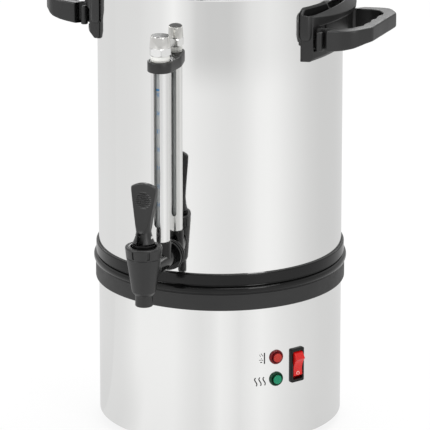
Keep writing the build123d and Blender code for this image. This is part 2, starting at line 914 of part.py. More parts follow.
with BuildPart() as tap_body:
    with BuildSketch(tap_plane):
        Polygon(
            (0, spout_bottom),
            (spout_radius, spout_bottom),
            (spout_radius, spout_bottom + spout_length),
            (cone_bottom_radius - shoulder_rounding, shoulder_bottom + shoulder_rounding / 2),
            (cone_bottom_radius - shoulder_rounding / 2, shoulder_bottom + shoulder_height / 2),
            (cone_bottom_radius, cone_bottom),
            (cone_top_radius, cone_top),
            (neck_radius, cone_top),
            (neck_radius, neck_top),
            (0, neck_top),
            align=None,
        )
    revolve(axis=tap_axis)
    with BuildSketch(shank_plane.offset(socket_mouth)):
        Circle(socket_radius)
    extrude(amount=socket_length - spigot_radius)
    with BuildSketch(tap_plane):
        Polygon(
            (0, spout_bottom),
            (spout_bore, spout_bottom),
            (spout_bore, cone_bottom),
            (cone_bottom_radius - seat_wall, cone_bottom + seat_step),
            (cone_bottom_radius - seat_wall, cone_bottom + 2 * seat_step),
            (chamber_radius, shank_height + spout_bore),
            (chamber_radius, neck_top),
            (0, neck_top),
            align=None,
        )
    revolve(axis=tap_axis, mode=Mode.SUBTRACT)
    with BuildSketch(shank_plane.offset(socket_mouth)):
        Circle(spigot_radius + thread_play)
    extrude(amount=spigot_length + ring_fit, mode=Mode.SUBTRACT)
    with BuildSketch(shank_plane.offset(socket_mouth)):
        Circle(shank_bore)
    extrude(amount=socket_length, mode=Mode.SUBTRACT)

with BuildPart() as tap_collar:
    with BuildSketch(tap_plane):
        Polygon(
            (neck_radius + thread_play, cone_top),
            (collar_bottom_radius, cone_top),
            (collar_top_radius, bonnet_top - bonnet_lip / 2),
            (collar_top_radius - bonnet_lip / 3, bonnet_top),
            (bush_radius + thread_play, bonnet_top),
            (bush_radius + thread_play, bonnet_top - bonnet_lip),
            (neck_radius + thread_play, bonnet_top - bonnet_lip),
            align=None,
        )
    revolve(axis=tap_axis)
    with BuildSketch(Plane.XY.offset(cone_top)):
        with Locations((0, -tap_reach)):
            with PolarLocations(collar_top_radius, bonnet_notches):
                Rectangle(2 * bonnet_notch_depth, bonnet_notch_width)
    extrude(amount=bonnet_height - bonnet_lip, mode=Mode.SUBTRACT)

with BuildPart() as stem_bush:
    with BuildSketch(tap_plane):
        Polygon(
            (stem_radius + pin_play, neck_top),
            (neck_radius, neck_top),
            (neck_radius, bonnet_top - bonnet_lip),
            (bush_radius, bonnet_top - bonnet_lip),
            (bush_radius, bush_top),
            (stem_radius + pin_play, bush_top),
            align=None,
        )
    revolve(axis=tap_axis)

seat_bottom = cone_bottom + seat_step + rest_gap
seat_radius = cone_bottom_radius - seat_wall - seat_clearance
piston_top = cone_top - piston_drop
piston_bottom = piston_top - piston_thickness

with BuildPart() as valve_seat:
    with BuildSketch(tap_plane):
        Polygon(
            (stem_radius, seat_bottom),
            (seat_radius, seat_bottom),
            (seat_radius, seat_bottom + seat_thickness),
            (2 * stem_radius, seat_bottom + seat_thickness + seat_cone),
            (2 * stem_radius, piston_bottom - piston_cone),
            (chamber_radius - rest_gap, piston_bottom),
            (chamber_radius - rest_gap, piston_top),
            (stem_radius, piston_top),
            align=None,
        )
    revolve(axis=tap_axis)

with BuildPart() as plunger_stem:
    with BuildSketch(Plane.XY.offset(seat_bottom)):
        with Locations((0, -tap_reach)):
            Circle(stem_radius)
    extrude(amount=bush_top + rest_gap - seat_bottom)
    with BuildSketch(Plane.XY.offset(bush_top + rest_gap)):
        with Locations((0, -tap_reach)):
            Rectangle(tongue_width, tongue_depth)
    extrude(amount=tongue_top - bush_top - rest_gap)
    with BuildSketch(Plane.YZ):
        with Locations((-tap_reach, pin_height)):
            Circle(pin_radius)
    extrude(amount=tongue_width, both=True, mode=Mode.SUBTRACT)

with BuildPart() as lever_pin:
    with BuildSketch(Plane.YZ):
        with Locations((-tap_reach, pin_height)):
            Circle(pin_radius)
    extrude(amount=pin_reach, both=True)

with BuildPart() as tap_spring:
    with BuildLine() as coil:
        Helix(
            pitch=(neck_top - piston_top - 2 * spring_wire) / spring_turns,
            height=neck_top - piston_top - 2 * spring_wire,
            radius=spring_radius,
            center=(0, -tap_reach, piston_top + spring_wire),
        )
    with BuildSketch(Plane(origin=coil.line @ 0, z_dir=coil.line % 0)):
        Circle(spring_wire)
    sweep(is_frenet=True)

with BuildPart() as tap_lever:
    with BuildSketch(tap_plane) as front:
        with BuildLine():
            right_side = Spline(
                (lever_waist_half - lever_flare, lever_waist_height - lever_root),
                (lever_waist_half, lever_waist_height),
                lever_middle,
                (lever_top_half, lever_top - lever_corner_drop),
            )
            left_side = Spline(
                (-lever_waist_half + lever_flare, lever_waist_height - lever_root),
                (-lever_waist_half, lever_waist_height),
                (-lever_middle[0], lever_middle[1]),
                (-lever_top_half, lever_top - lever_corner_drop),
            )
            ThreePointArc(right_side @ 1, (0, lever_top), left_side @ 1)
            Line(right_side @ 0, left_side @ 0)
        make_face()
    extrude(amount=lever_skirt_radius, both=True)
    with BuildSketch(Plane.YZ):
        Polygon(
            (-tap_reach - lever_waist_depth, lever_waist_height - lever_root - ring_fit),
            (-tap_reach - lever_waist_depth, lever_waist_height),
            (-tap_reach - lever_tip_depth, lever_top + ring_fit),
            (-tap_reach + lever_tip_depth, lever_top + ring_fit),
            (-tap_reach + lever_waist_depth, lever_waist_height),
            (-tap_reach + lever_waist_depth, lever_waist_height - lever_root - ring_fit),
            align=None,
        )
    extrude(amount=lever_skirt_radius + lever_top_half, both=True, mode=Mode.INTERSECT)
    fillet(tap_lever.edges().filter_by(lambda e: e.center().Z > lever_waist_height), lever_rounding)
    with BuildSketch(tap_plane):
        Polygon(
            (0, lever_bottom),
            (lever_skirt_radius, lever_bottom),
            (lever_skirt_radius - lever_skirt_taper, lever_bottom + lever_skirt_height),
            (lever_waist_half, lever_waist_height - lever_neck_drop),
            (0, lever_waist_height - lever_neck_drop),
            align=None,
        )
    revolve(axis=tap_axis)
    with BuildSketch(tap_plane) as slot:
        with Locations((0, (lever_bottom + lever_slot_top) / 2)):
            Rectangle(lever_slot, lever_slot_top - lever_bottom)
        fillet(slot.vertices().group_by(Axis.Y)[-1], lever_slot / 4)
    extrude(amount=2 * lever_skirt_radius, both=True, mode=Mode.SUBTRACT)
    with BuildSketch(Plane.YZ):
        with Locations((-tap_reach, pin_height)):
            Circle(pin_radius + pin_play)
    extrude(amount=2 * lever_skirt_radius, both=True, mode=Mode.SUBTRACT)

# ---- Gauge --------------------------------------------------------------------------------------

bracket_top = bracket_bottom + bracket_height
glass_top = bracket_top + glass_stand
guard_slot_bottom = boss_top + guard_slot_rise
washer_top = bracket_top + washer_height
gauge_nut_top = washer_top + gauge_nut_height
cap_top = gauge_nut_top + cap_height
guard_inner = guard_radius - guard_wall
nipple_radius = guard_inner - seal_play
nipple_inner = nipple_radius - nipple_wall
cap_disc_bottom = cap_top + cap_disc_stand - cap_disc_height


def sleeve(outer, inner, bottom, top):
    """A plain sleeve on the gauge's axis."""
    with BuildPart(mode=Mode.PRIVATE) as tube:
        with BuildSketch(Plane.XY.offset(bottom)):
            with Locations((0, -gauge_reach)):
                Circle(outer)
                Circle(inner, mode=Mode.SUBTRACT)
        extrude(amount=top - bottom)
    return tube.part


lower_seal_sleeve = sleeve(boss_bore - seal_play, glass_radius + seal_play, boss_seat, boss_top)
glass_sleeve = sleeve(glass_radius, glass_bore, boss_seat, glass_top)
guard_sleeve = sleeve(guard_radius, guard_inner, boss_top, bracket_top)
upper_seal_sleeve = sleeve(
    nipple_inner - seal_play,
    glass_radius + seal_play,
    bracket_top - upper_seal_below,
    bracket_top + upper_seal_above,
)
nipple_sleeve = sleeve(nipple_radius, nipple_inner, bracket_top - nipple_below, gauge_nut_top + nipple_above)
washer_sleeve = sleeve(washer_radius, guard_inner, bracket_top, washer_top)

with BuildPart() as gauge_lower_seal:
    add(lower_seal_sleeve)
with BuildPart() as gauge_glass:
    add(glass_sleeve)
with BuildPart() as gauge_upper_seal:
    add(upper_seal_sleeve)
with BuildPart() as gauge_nipple:
    add(nipple_sleeve)
with BuildPart() as gauge_washer:
    add(washer_sleeve)

with BuildPart() as gauge_guard:
    add(guard_sleeve)
    slot_top = bracket_top - guard_slot_margin
    with BuildSketch(gauge_plane):
        with Locations((0, (guard_slot_bottom + slot_top) / 2)):
            SlotOverall(slot_top - guard_slot_bottom, guard_slot, rotation=90)
    extrude(amount=2 * guard_radius, both=True, mode=Mode.SUBTRACT)

with BuildPart() as gauge_nut:
    with BuildSketch(Plane.XY.offset(washer_top)):
        with Locations((0, -gauge_reach)):
            RegularPolygon(gauge_nut_flats / 2, 6, major_radius=False)
            Circle(guard_inner, mode=Mode.SUBTRACT)
    extrude(amount=gauge_nut_height)
    with BuildSketch(gauge_plane):
        Polygon(
            (0, washer_top),
            (gauge_nut_flats / 2, washer_top),
            (gauge_nut_flats / 2 + gauge_nut_chamfer, washer_top + gauge_nut_chamfer),
            (gauge_nut_flats / 2 + gauge_nut_chamfer, gauge_nut_top - gauge_nut_chamfer),
            (gauge_nut_flats / 2, gauge_nut_top),
            (0, gauge_nut_top),
            align=None,
        )
    revolve(axis=gauge_axis, mode=Mode.INTERSECT)

with BuildPart() as gauge_cap:
    with BuildSketch(gauge_plane):
        Polygon(
            (guard_inner, gauge_nut_top),
            (cap_bottom_radius, gauge_nut_top),
            (cap_top_radius, cap_top),
            (cap_disc_radius + seal_play, cap_top),
            (cap_disc_radius + seal_play, cap_disc_bottom),
            (0, cap_disc_bottom),
            (0, cap_disc_bottom - cap_disc_height),
            (guard_inner, cap_disc_bottom - cap_disc_height),
            align=None,
        )
    revolve(axis=gauge_axis)

with BuildPart() as gauge_cap_disc:
    with BuildSketch(Plane.XY.offset(cap_disc_bottom)):
        with Locations((0, -gauge_reach)):
            Circle(cap_disc_radius)
    extrude(amount=cap_disc_height)

with BuildPart() as gauge_bracket:
    with BuildSketch(Plane.XY.offset(bracket_bottom)):
        with Locations((0, -gauge_reach)):
            Circle(bracket_radius)
        with Locations((0, -(gauge_reach + body_radius) / 2 + bracket_radius / 4)):
            Rectangle(2 * bracket_radius, gauge_reach - body_radius + bracket_radius / 2)
        with Locations((0, -gauge_reach)):
            Circle(guard_radius + seal_play, mode=Mode.SUBTRACT)
        Circle(ring_inner, mode=Mode.SUBTRACT)
    extrude(amount=bracket_height)
    with BuildSketch(Plane.XY.offset(bracket_top)):
        with Locations((0, -(body_radius + gauge_reach - guard_radius) / 2)):
            Rectangle(2 * (bracket_radius - bracket_recess), bracket_recess * 2)
    extrude(amount=-bracket_recess, mode=Mode.SUBTRACT)
    with BuildSketch(bracket_screw_plane):
        Circle(handle_screw_radius)
    extrude(amount=handle_screw_bite, mode=Mode.SUBTRACT)

# ---- Lamps and switch ---------------------------------------------------------------------------


def lamp_body(plane):
    """A round lamp housing: a domed rim outside the panel and a barrel behind it."""
    with BuildPart(mode=Mode.PRIVATE) as housing:
        with BuildSketch(plane):
            Circle(lamp_radius)
        extrude(amount=lamp_rim)
        fillet(housing.edges().filter_by(GeomType.CIRCLE), lamp_rim / 3)
        with BuildSketch(plane):
            Circle(lamp_barrel)
        extrude(amount=-lamp_depth)
        with BuildSketch(plane.offset(-lamp_depth / 2)):
            Circle(lens_radius + ring_fit)
        extrude(amount=lamp_depth, mode=Mode.SUBTRACT)
    return housing.part


def lamp_lens(plane):
    """A translucent lens that plugs into the housing and stands out as a low dome."""
    with BuildPart(mode=Mode.PRIVATE) as lens:
        with BuildSketch(plane.offset(-lamp_depth / 2)):
            Circle(lens_radius)
        extrude(amount=lamp_depth / 2 + lens_stand)
        front_edge = lens.faces().sort_by(Axis(plane.origin, plane.z_dir))[-1].edges()
        fillet(front_edge, lens_stand - lamp_rim)
    return lens.part


red_body = lamp_body(lamp_planes["red"])
green_body = lamp_body(lamp_planes["green"])
red_lens = lamp_lens(lamp_planes["red"])
green_lens = lamp_lens(lamp_planes["green"])
with BuildPart() as lamp_red:
    add(red_body)
with BuildPart() as lamp_green:
    add(green_body)
with BuildPart() as lamp_red_lens:
    add(red_lens)
with BuildPart() as lamp_green_lens:
    add(green_lens)

opening_width = rocker_width + 2 * rocker_play
opening_height = 2 * (rocker_reach + rocker_play)

with BuildPart() as switch_frame:
    with BuildSketch(switch_plane):
        RectangleRounded(switch_size[0], switch_size[1], switch_corner)
    extrude(amount=switch_rim)
    chamfer(switch_frame.faces().sort_by(Axis(switch_plane.origin, switch_plane.z_dir))[-1].edges(), 0.5)
    with BuildSketch(switch_plane):
        Rectangle(*switch_body)
    extrude(amount=-switch_depth)
    with BuildSketch(switch_plane.offset(switch_rim)):
        Rectangle(opening_width, opening_height)
    extrude(amount=-switch_rim - rocker_pivot_depth - rocker_reach, mode=Mode.SUBTRACT)
    with BuildSketch(Plane(switch_plane.offset(-rocker_pivot_depth).origin, x_dir=switch_plane.y_dir,
                           z_dir=switch_plane.x_dir)):
        Circle(rocker_pin + pin_play)
    extrude(amount=switch_body[0] / 2, both=True, mode=Mode.SUBTRACT)

# The rocker's side view: x along the panel (up), y out of it, about the pivot.
rocker_plane = Plane(
    switch_plane.offset(-rocker_pivot_depth).origin, x_dir=switch_plane.y_dir, z_dir=switch_plane.x_dir
)

with BuildPart() as switch_rocker:
    with BuildSketch(rocker_plane):
        with BuildLine():
            right_end = CenterArc((0, 0), rocker_reach, 0, rocker_end_angle)
            left_end = CenterArc((0, 0), rocker_reach, 180 - rocker_end_angle, rocker_end_angle)
            peak_x = rocker_peak_reach * cos(radians(rocker_peak_angle))
            peak_y = rocker_peak_reach * sin(radians(rocker_peak_angle))
            dip = ThreePointArc(
                (peak_x, peak_y), (0, rocker_pivot_depth + rocker_valley), (-peak_x, peak_y)
            )
            Line(right_end @ 1, dip @ 0)
            Line(dip @ 1, left_end @ 0)
            Polyline(left_end @ 1, (0, -rocker_skirt), right_end @ 0)
        make_face()
    extrude(amount=rocker_width / 2, both=True)
    with BuildSketch(rocker_plane):
        Circle(rocker_pin)
    extrude(amount=switch_body[0] / 2, both=True)

rocker_axis = Axis(rocker_plane.origin, switch_plane.x_dir)
resting_rocker = switch_rocker.part.rotate(rocker_axis, rocker_tilt)
with BuildPart() as switch_rocker:
    add(resting_rocker)

# ---- Files --------------------------------------------------------------------------------------

pieces = {
    "foot_ring": foot_ring,
    "base_shell": base_shell,
    "base_plate": base_plate,
    "tie_stud": tie_stud,
    "tie_nut": tie_nut,
    "terminal_block": terminal_block,
    "inlet_gland": inlet_gland,
    "label_band": label_band,
    "band_lip": band_lip,
    "tank": tank,
    "tank_floor": tank_floor,
    "heat_well": heat_well,
    "brew_element": brew_element,
    "warm_element": warm_element,
    "brew_thermostat": brew_thermostat,
    "warm_thermostat": warm_thermostat,
    "thermal_fuse": thermal_fuse,
    "riser_tube": riser_tube,
    "pump_foot": pump_foot,
    "filter_basket": filter_basket,
    "basket_sleeve": basket_sleeve,
    "basket_spreader": basket_spreader,
    "lid": lid,
    "lid_knob": lid_knob,
    "knob_screw": knob_screw,
    "handle_right": handle_right,
    "handle_left": handle_left,
    "handle_screws": handle_screws,
    "tap_shank": tap_shank,
    "shank_washer": shank_washer,
    "shank_inner_washer": shank_inner_washer,
    "shank_nut": shank_nut,
    "tap_body": tap_body,
    "tap_collar": tap_collar,
    "stem_bush": stem_bush,
    "valve_seat": valve_seat,
    "plunger_stem": plunger_stem,
    "lever_pin": lever_pin,
    "tap_spring": tap_spring,
    "tap_lever": tap_lever,
    "gauge_lower_seal": gauge_lower_seal,
    "gauge_glass": gauge_glass,
    "gauge_guard": gauge_guard,
    "gauge_upper_seal": gauge_upper_seal,
    "gauge_nipple": gauge_nipple,
    "gauge_washer": gauge_washer,
    "gauge_nut": gauge_nut,
    "gauge_cap": gauge_cap,
    "gauge_cap_disc": gauge_cap_disc,
    "gauge_bracket": gauge_bracket,
    "bracket_screw": bracket_screw,
    "lamp_red": lamp_red,
    "lamp_red_lens": lamp_red_lens,
    "lamp_green": lamp_green,
    "lamp_green_lens": lamp_green_lens,
    "switch_frame": switch_frame,
    "switch_rocker": switch_rocker,
}

for name, piece in pieces.items():
    piece.part.label = name
    export_step(piece.part, f"parts/{name}.step")
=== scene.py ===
# %% [markdown]
# # A percolating coffee urn
#
# The urn is a tall stainless tank on a heater base. A black plastic band hides the joint between
# the two, black handles are screwed to the sides, and a push tap and a sight gauge stand in front.
# The CAD model is loaded first and stays where it is. Wherever the real thing has softer edges or
# finer detail than the CAD solids, a new surface is worked out here and stands in for them.

import json

import bmesh
import bpy
import numpy as np
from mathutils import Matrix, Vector


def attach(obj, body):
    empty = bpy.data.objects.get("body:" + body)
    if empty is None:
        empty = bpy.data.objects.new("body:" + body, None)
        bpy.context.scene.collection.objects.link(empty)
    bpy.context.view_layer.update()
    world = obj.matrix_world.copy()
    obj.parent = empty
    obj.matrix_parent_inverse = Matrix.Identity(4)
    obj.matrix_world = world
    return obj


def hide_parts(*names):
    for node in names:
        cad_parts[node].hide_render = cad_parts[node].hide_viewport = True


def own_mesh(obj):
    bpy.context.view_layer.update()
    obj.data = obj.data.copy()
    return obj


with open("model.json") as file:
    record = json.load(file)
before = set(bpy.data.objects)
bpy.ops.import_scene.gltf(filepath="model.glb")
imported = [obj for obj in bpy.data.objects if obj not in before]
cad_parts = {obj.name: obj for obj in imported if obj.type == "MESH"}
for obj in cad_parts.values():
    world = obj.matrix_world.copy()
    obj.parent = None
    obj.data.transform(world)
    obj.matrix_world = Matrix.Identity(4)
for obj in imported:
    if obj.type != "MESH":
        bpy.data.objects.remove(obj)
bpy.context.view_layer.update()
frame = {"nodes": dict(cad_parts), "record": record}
cad_nodes = frame["nodes"]

# %% [markdown]
# ## The camera
#
# A long lens from four metres away gives the flat, catalogue look: upright walls stay nearly
# parallel. The camera stands 24 degrees round from the tap and looks 17 degrees down. Its place is
# worked out as a target point plus a distance along the view direction, so either can be changed
# without disturbing the other.

# %% Camera
TURN = np.radians(24.0)
TILT = np.radians(17.04)
DISTANCE = 3.9727
TARGET = np.array([-0.00404, -0.00180, 0.18027])
towards_camera = np.array(
    [np.sin(TURN) * np.cos(TILT), -np.cos(TURN) * np.cos(TILT), np.sin(TILT)]
)
camera = bpy.data.objects.new("studio_camera", bpy.data.cameras.new("studio_camera"))
bpy.context.scene.collection.objects.link(camera)
camera.data.sensor_width = 36.0
camera.data.lens = 384.06
camera.data.clip_end = 50.0
camera.location = Vector(TARGET + DISTANCE * towards_camera)
camera.rotation_euler = Vector(-towards_camera).to_track_quat("-Z", "Y").to_euler()
bpy.context.scene.camera = camera
print("camera at", [round(v, 3) for v in camera.location])

# %% [markdown]
# ## Lengths and colours
#
# The drawing is in millimetres and Blender works in metres, so every surface is worked out in
# millimetres and scaled once, when it becomes a mesh. Colours are written as the hex values a
# painter would pick; Blender's shaders need linear light, so one function converts them.

# %% Units and colour
MM = 0.001
BODY_R = 105.0  # outside radius of the tank and the base


def linear(colour):
    """An sRGB hex colour as linear light: the power curve 2.4 above a short straight toe."""
    srgb = np.array([int(colour[i : i + 2], 16) for i in (1, 3, 5)]) / 255
    light = np.where(srgb <= 0.04045, srgb / 12.92, ((srgb + 0.055) / 1.055) ** 2.4)
    return (*light.tolist(), 1.0)


# %% [markdown]
# ## Materials
#
# A material here is a small network of nodes. One helper adds a node, sets its values and joins its
# inputs, and another lets noise move a shader's colour and gloss. Each family of finishes is then a
# short function: metals, mouldings and tinted plastics. Patterns use Object coordinates, which are
# metres on the real thing: a noise scale of 4000 has features about a quarter of a millimetre wide.

# %% Helpers for materials
def add_node(tree, kind, settings=None, links=None):
    """Adds a node, sets its sockets (by name or number) or its properties, and links its inputs
    to sockets, or to the first output of other nodes."""
    node = tree.nodes.new(kind)
    for key, value in (settings or {}).items():
        if isinstance(key, int) or key in node.inputs:
            node.inputs[key].default_value = value
        else:
            setattr(node, key, value)
    for key, source in (links or {}).items():
        socket = source.outputs[0] if isinstance(source, bpy.types.Node) else source
        tree.links.new(socket, node.inputs[key])
    return node


def start_material(name, settings):
    """A new material with one Principled shader and its settings, and Object coordinates."""
    material = bpy.data.materials.new(name)
    material.use_nodes = True
    tree = material.node_tree
    tree.nodes.clear()
    shader = add_node(tree, "ShaderNodeBsdfPrincipled", settings)
    output = tree.nodes.new("ShaderNodeOutputMaterial")
    tree.links.new(shader.outputs["BSDF"], output.inputs["Surface"])
    place = add_node(tree, "ShaderNodeTexCoord").outputs["Object"]
    return material, tree, shader, place


def shade(colour, factor, lift=0.0):
    """A linear colour made lighter or darker by a factor, and lifted a little."""
    return (*[min(1.0, channel * factor + lift) for channel in colour[:3]], 1.0)


def uneven(tree, shader, tints, tint_by, gloss, gloss_by, spread=(0.3, 0.7), relief=None):
    """Lets noise move a shader. One noise takes the colour from the first tint to the second, and
    one takes the roughness from the lower to the higher as it goes through its spread. A relief is
    a noise, its strength and its depth in metres."""
    tint = add_node(
        tree, "ShaderNodeMix", {"data_type": "RGBA", 6: tints[0], 7: tints[1]}, {0: tint_by}
    )
    ends = {"From Min": spread[0], "From Max": spread[1], "To Min": gloss[0], "To Max": gloss[1]}
    rough = add_node(tree, "ShaderNodeMapRange", ends, {"Value": gloss_by})
    tree.links.new(tint.outputs[2], shader.inputs["Base Color"])
    tree.links.new(rough.outputs[0], shader.inputs["Roughness"])
    if relief:
        heights, strength, depth = relief
        lift = {"Strength": strength, "Distance": depth}
        bump = add_node(tree, "ShaderNodeBump", lift, {"Height": heights})
        tree.links.new(bump.outputs[0], shader.inputs["Normal"])


# %% [markdown]
# ### Stainless sheet
#
# The tank and base are rolled from polished stainless sheet. It mirrors the room, slightly blurred,
# with faint lines left by the rolling. A metal has no diffuse colour: its base colour tints
# the reflection. Very fine stretched noise moves the roughness, and a broader one the
# colour, by a few percent, so the wall doesn't look like perfect glass.

# %% Polished metals
def rolled_metal(name, colour, roughness, grain=(160, 160, 9), relief=0.02):
    """Metal whose roughness follows a noise stretched along the rolling direction, and whose tint
    drifts a few percent over broad clouds."""
    material, tree, shader, place = start_material(name, {"Metallic": 1.0})
    stretched = add_node(tree, "ShaderNodeMapping", {"Scale": grain}, {"Vector": place})
    fine = {"Scale": 6.0, "Detail": 4.0, "Roughness": 0.6}
    lines = add_node(tree, "ShaderNodeTexNoise", fine, {"Vector": stretched})
    clouds = add_node(tree, "ShaderNodeTexNoise", {"Scale": 9.0, "Detail": 2.0}, {"Vector": place})
    tints = linear(colour), shade(linear(colour), 1.05)
    gloss = roughness * 0.8, roughness * 1.25
    uneven(tree, shader, tints, clouds, gloss, lines, relief=(lines, relief, 0.0001))
    return material


steel_wall = rolled_metal("polished_stainless_sheet", "#ededec", 0.045)
steel_inner = rolled_metal("plain_stainless_sheet", "#d2d2d0", 0.22)
steel_tube = rolled_metal("polished_steel_tube", "#e9e9e8", 0.19, grain=(300, 300, 4))
nickel_plate = rolled_metal("nickel_plate", "#e2e1de", 0.09, grain=(60, 60, 60))
zinc_plate = rolled_metal("zinc_plate", "#a9abac", 0.35, grain=(40, 40, 40), relief=0.1)

# %% [markdown]
# ### Black mouldings
#
# Handles, tap and band are black polypropylene. Moulds for such parts are spark-eroded, which
# leaves a fine pebble grain about a fifth of a millimetre across: it scatters the highlight into a
# soft grey sheen on every upward face. The same network, with the grain turned down and the
# roughness lowered, gives the glossy mouldings and the rubbers.

# %% Plastics and rubbers
def moulded(name, colour, roughness, grain_mm=0.22, relief=0.25, specular=0.5):
    """Plastic or rubber: a pebble grain of the given width lifts the surface, and a broader wear
    moves its gloss and colour."""
    settings = {"IOR": 1.49, "Specular IOR Level": specular}
    material, tree, shader, place = start_material(name, settings)
    grain = {"Scale": 1000.0 / grain_mm, "Detail": 2.0, "Roughness": 0.5}
    pebbles = add_node(tree, "ShaderNodeTexNoise", grain, {"Vector": place})
    broad = {"Scale": 60.0, "Detail": 4.0, "Roughness": 0.6}
    wear = add_node(tree, "ShaderNodeTexNoise", broad, {"Vector": place})
    tints = linear(colour), shade(linear(colour), 1.15, 0.001)
    gloss = roughness * 0.88, roughness * 1.12
    uneven(tree, shader, tints, wear, gloss, wear, relief=(pebbles, relief, 0.00003))
    return material


grained_black = moulded("grained_black_polypropylene", "#181818", 0.38, specular=0.6)
# painted shade: a darker, duller black for the sheets inside the handles' pockets
painted_shade_black = moulded("painted_shade_black_polypropylene", "#0c0c0c", 0.7, specular=0.12)
label_black = moulded("satin_black_label_foil", "#202020", 0.5, grain_mm=0.4, relief=0.1)
gloss_black = moulded(
    "glossy_black_abs", "#0b0b0b", 0.14, grain_mm=0.6, relief=0.05, specular=0.32
)
white_nylon = moulded("white_nylon", "#e8e8e4", 0.35, relief=0.1)
black_rubber = moulded("black_rubber", "#121212", 0.6, grain_mm=0.35, relief=0.4)
white_silicone = moulded("white_silicone", "#cfccc2", 0.45, relief=0.1)
brown_phenolic = moulded("brown_phenolic", "#3b2a20", 0.45, relief=0.2)
print_black = moulded("black_screen_print", "#111111", 0.5, relief=0.02)
print_blue = moulded("blue_scale_print", "#2b7ab0", 0.4, relief=0.02)
print_white = moulded("white_pad_print", "#e9b4ac", 0.4, relief=0.02)

# %% [markdown]
# ### Lamp and switch colours, and glass
#
# The two lamps are tinted acrylic: light goes in, bounces off a pale reflector inside and comes
# back saturated. A little transmission with a strong base colour gives that depth without needing
# the parts inside. The light that comes back is painted light: a faint emission on the lenses and
# on the rocker. The gauge tube is borosilicate glass.

# %% Clear and tinted materials
def tinted(name, colour, roughness=0.12, clear=0.25, glow=0.0, dull=1.0):
    """Acrylic or glass tinted in the mass, slightly uneven in its colour and gloss."""
    settings = {"IOR": 1.49, "Transmission Weight": clear, "Emission Strength": glow}
    settings |= {"Specular IOR Level": 0.5 * dull, "Emission Color": linear(colour)}
    material, tree, shader, place = start_material(name, settings)
    flow = add_node(tree, "ShaderNodeTexNoise", {"Scale": 220.0, "Detail": 2.0}, {"Vector": place})
    tints = shade(linear(colour), 0.75), linear(colour)
    uneven(tree, shader, tints, flow, (roughness * 0.8, roughness * 1.2), flow, spread=(0, 1))
    return material


red_bezel = tinted("deep_red_acrylic", "#80101a", roughness=0.3, dull=0.5)
# painted light: the lenses' and the rocker's glow is a faint emission for light bounced back inside
red_lens = tinted("red_acrylic_lens", "#cf3a30", roughness=0.25, glow=0.06, dull=0.5)
green_bezel = tinted("deep_green_acrylic", "#02482d", roughness=0.3, dull=0.5)
green_lens = tinted("green_acrylic_lens", "#149c72", roughness=0.25, glow=0.06, dull=0.5)
red_rocker = tinted("red_rocker_acrylic", "#e11b18", roughness=0.2, clear=0.1, glow=0.06)
clear_glass = tinted("borosilicate_glass", "#dfe3e3", roughness=0.03, clear=0.3)
print("materials:", len(bpy.data.materials))

# %% [markdown]
# ## From numbers to a mesh
#
# Every new surface is a grid: one array of points with rows and columns, worked out all at once.
# The faces of any grid follow one pattern, four neighbours at a time, and wrap round where the
# surface closes on itself. A piece may be several such shells in one mesh. Points that fall
# together, at a seam or a pole, are welded, and the faces are turned outwards.

# %% Grids and pieces
WELD = 2e-6  # metres: points nearer than this become one


def grid_faces(rows, columns, wrap_rows, wrap_columns):
    """The quads of a grid: each joins a point to its right, lower and diagonal neighbour."""
    row = np.arange(rows if wrap_rows else rows - 1)[:, None]
    column = np.arange(columns if wrap_columns else columns - 1)[None, :]
    below, right = (row + 1) % rows, (column + 1) % columns
    ring = ((row, column), (row, right), (below, right), (below, column))
    corners = np.broadcast_arrays(*[down * columns + along for down, along in ring])
    return np.stack(corners, axis=-1).reshape(-1, 4)


def shell(points, wrap_rows=True, wrap_columns=True):
    """A grid of points in millimetres, with its faces."""
    rows, columns = points.shape[:2]
    return points.reshape(-1, 3), grid_faces(rows, columns, wrap_rows, wrap_columns)


def stacked(rings):
    """Rows of points from flat outlines, each with its own height."""
    return np.stack([np.column_stack([ring, np.full(len(ring), up)]) for ring, up in rings])


def with_poles(rows):
    """A lofted grid with a pole added in the middle of its first row and of its last."""
    poles = rows[[0, -1]].mean(axis=1, keepdims=True) + 0 * rows[[0, -1]]
    return np.concatenate([poles[:1], rows, poles[1:]])


def capped(rows):
    """A lofted grid, closed by a pole at either end."""
    return shell(with_poles(rows), wrap_rows=False)


def polar(radius, angle, height, centre=(0.0, 0.0)):
    """Points from a radius, an angle counted from the tap, and a height: x is radius times sine,
    and y minus radius times cosine."""
    x = centre[0] + radius * np.sin(angle)
    y = centre[1] - radius * np.cos(angle)
    return np.stack(np.broadcast_arrays(x, y, height), axis=-1)


def make_piece(name, shells, material, body="urn", stands_for=None, sharp=38.0):
    """One mesh from several shells: joined, welded, turned outwards, smooth up to the sharp angle.
    It takes the material that it is given, and hides the CAD node that it stands for."""
    counts = np.cumsum([0] + [len(points) for points, _ in shells])
    points = np.vstack([points for points, _ in shells]) * MM
    faces = np.vstack([faces + start for (_, faces), start in zip(shells, counts)])
    mesh = bpy.data.meshes.new(name)
    mesh.from_pydata(points.tolist(), [], faces.tolist())
    weld = bmesh.new()
    weld.from_mesh(mesh)
    bmesh.ops.remove_doubles(weld, verts=weld.verts, dist=WELD)
    bmesh.ops.dissolve_degenerate(weld, edges=weld.edges, dist=WELD / 20)
    bmesh.ops.recalc_face_normals(weld, faces=weld.faces)
    weld.to_mesh(mesh)
    weld.free()
    mesh.polygons.foreach_set("use_smooth", np.ones(len(mesh.polygons), bool))
    mesh.set_sharp_from_angle(angle=np.radians(sharp))
    piece = bpy.data.objects.new(name, mesh)
    bpy.context.scene.collection.objects.link(piece)
    mesh.materials.append(material)
    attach(piece, body)
    if stands_for:
        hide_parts(stands_for)
    return piece


# %% [markdown]
# ## Turned shapes
#
# Most of the urn is round about some axis: walls, rings, lid, knob, lamps. Each is drawn as a
# closed outline of radius and height, whose corners are rounded first, and then turned. The
# rounding is what the eye reads as real: no moulded or pressed edge is perfectly sharp, and the
# thin highlight along it is the sign of that.

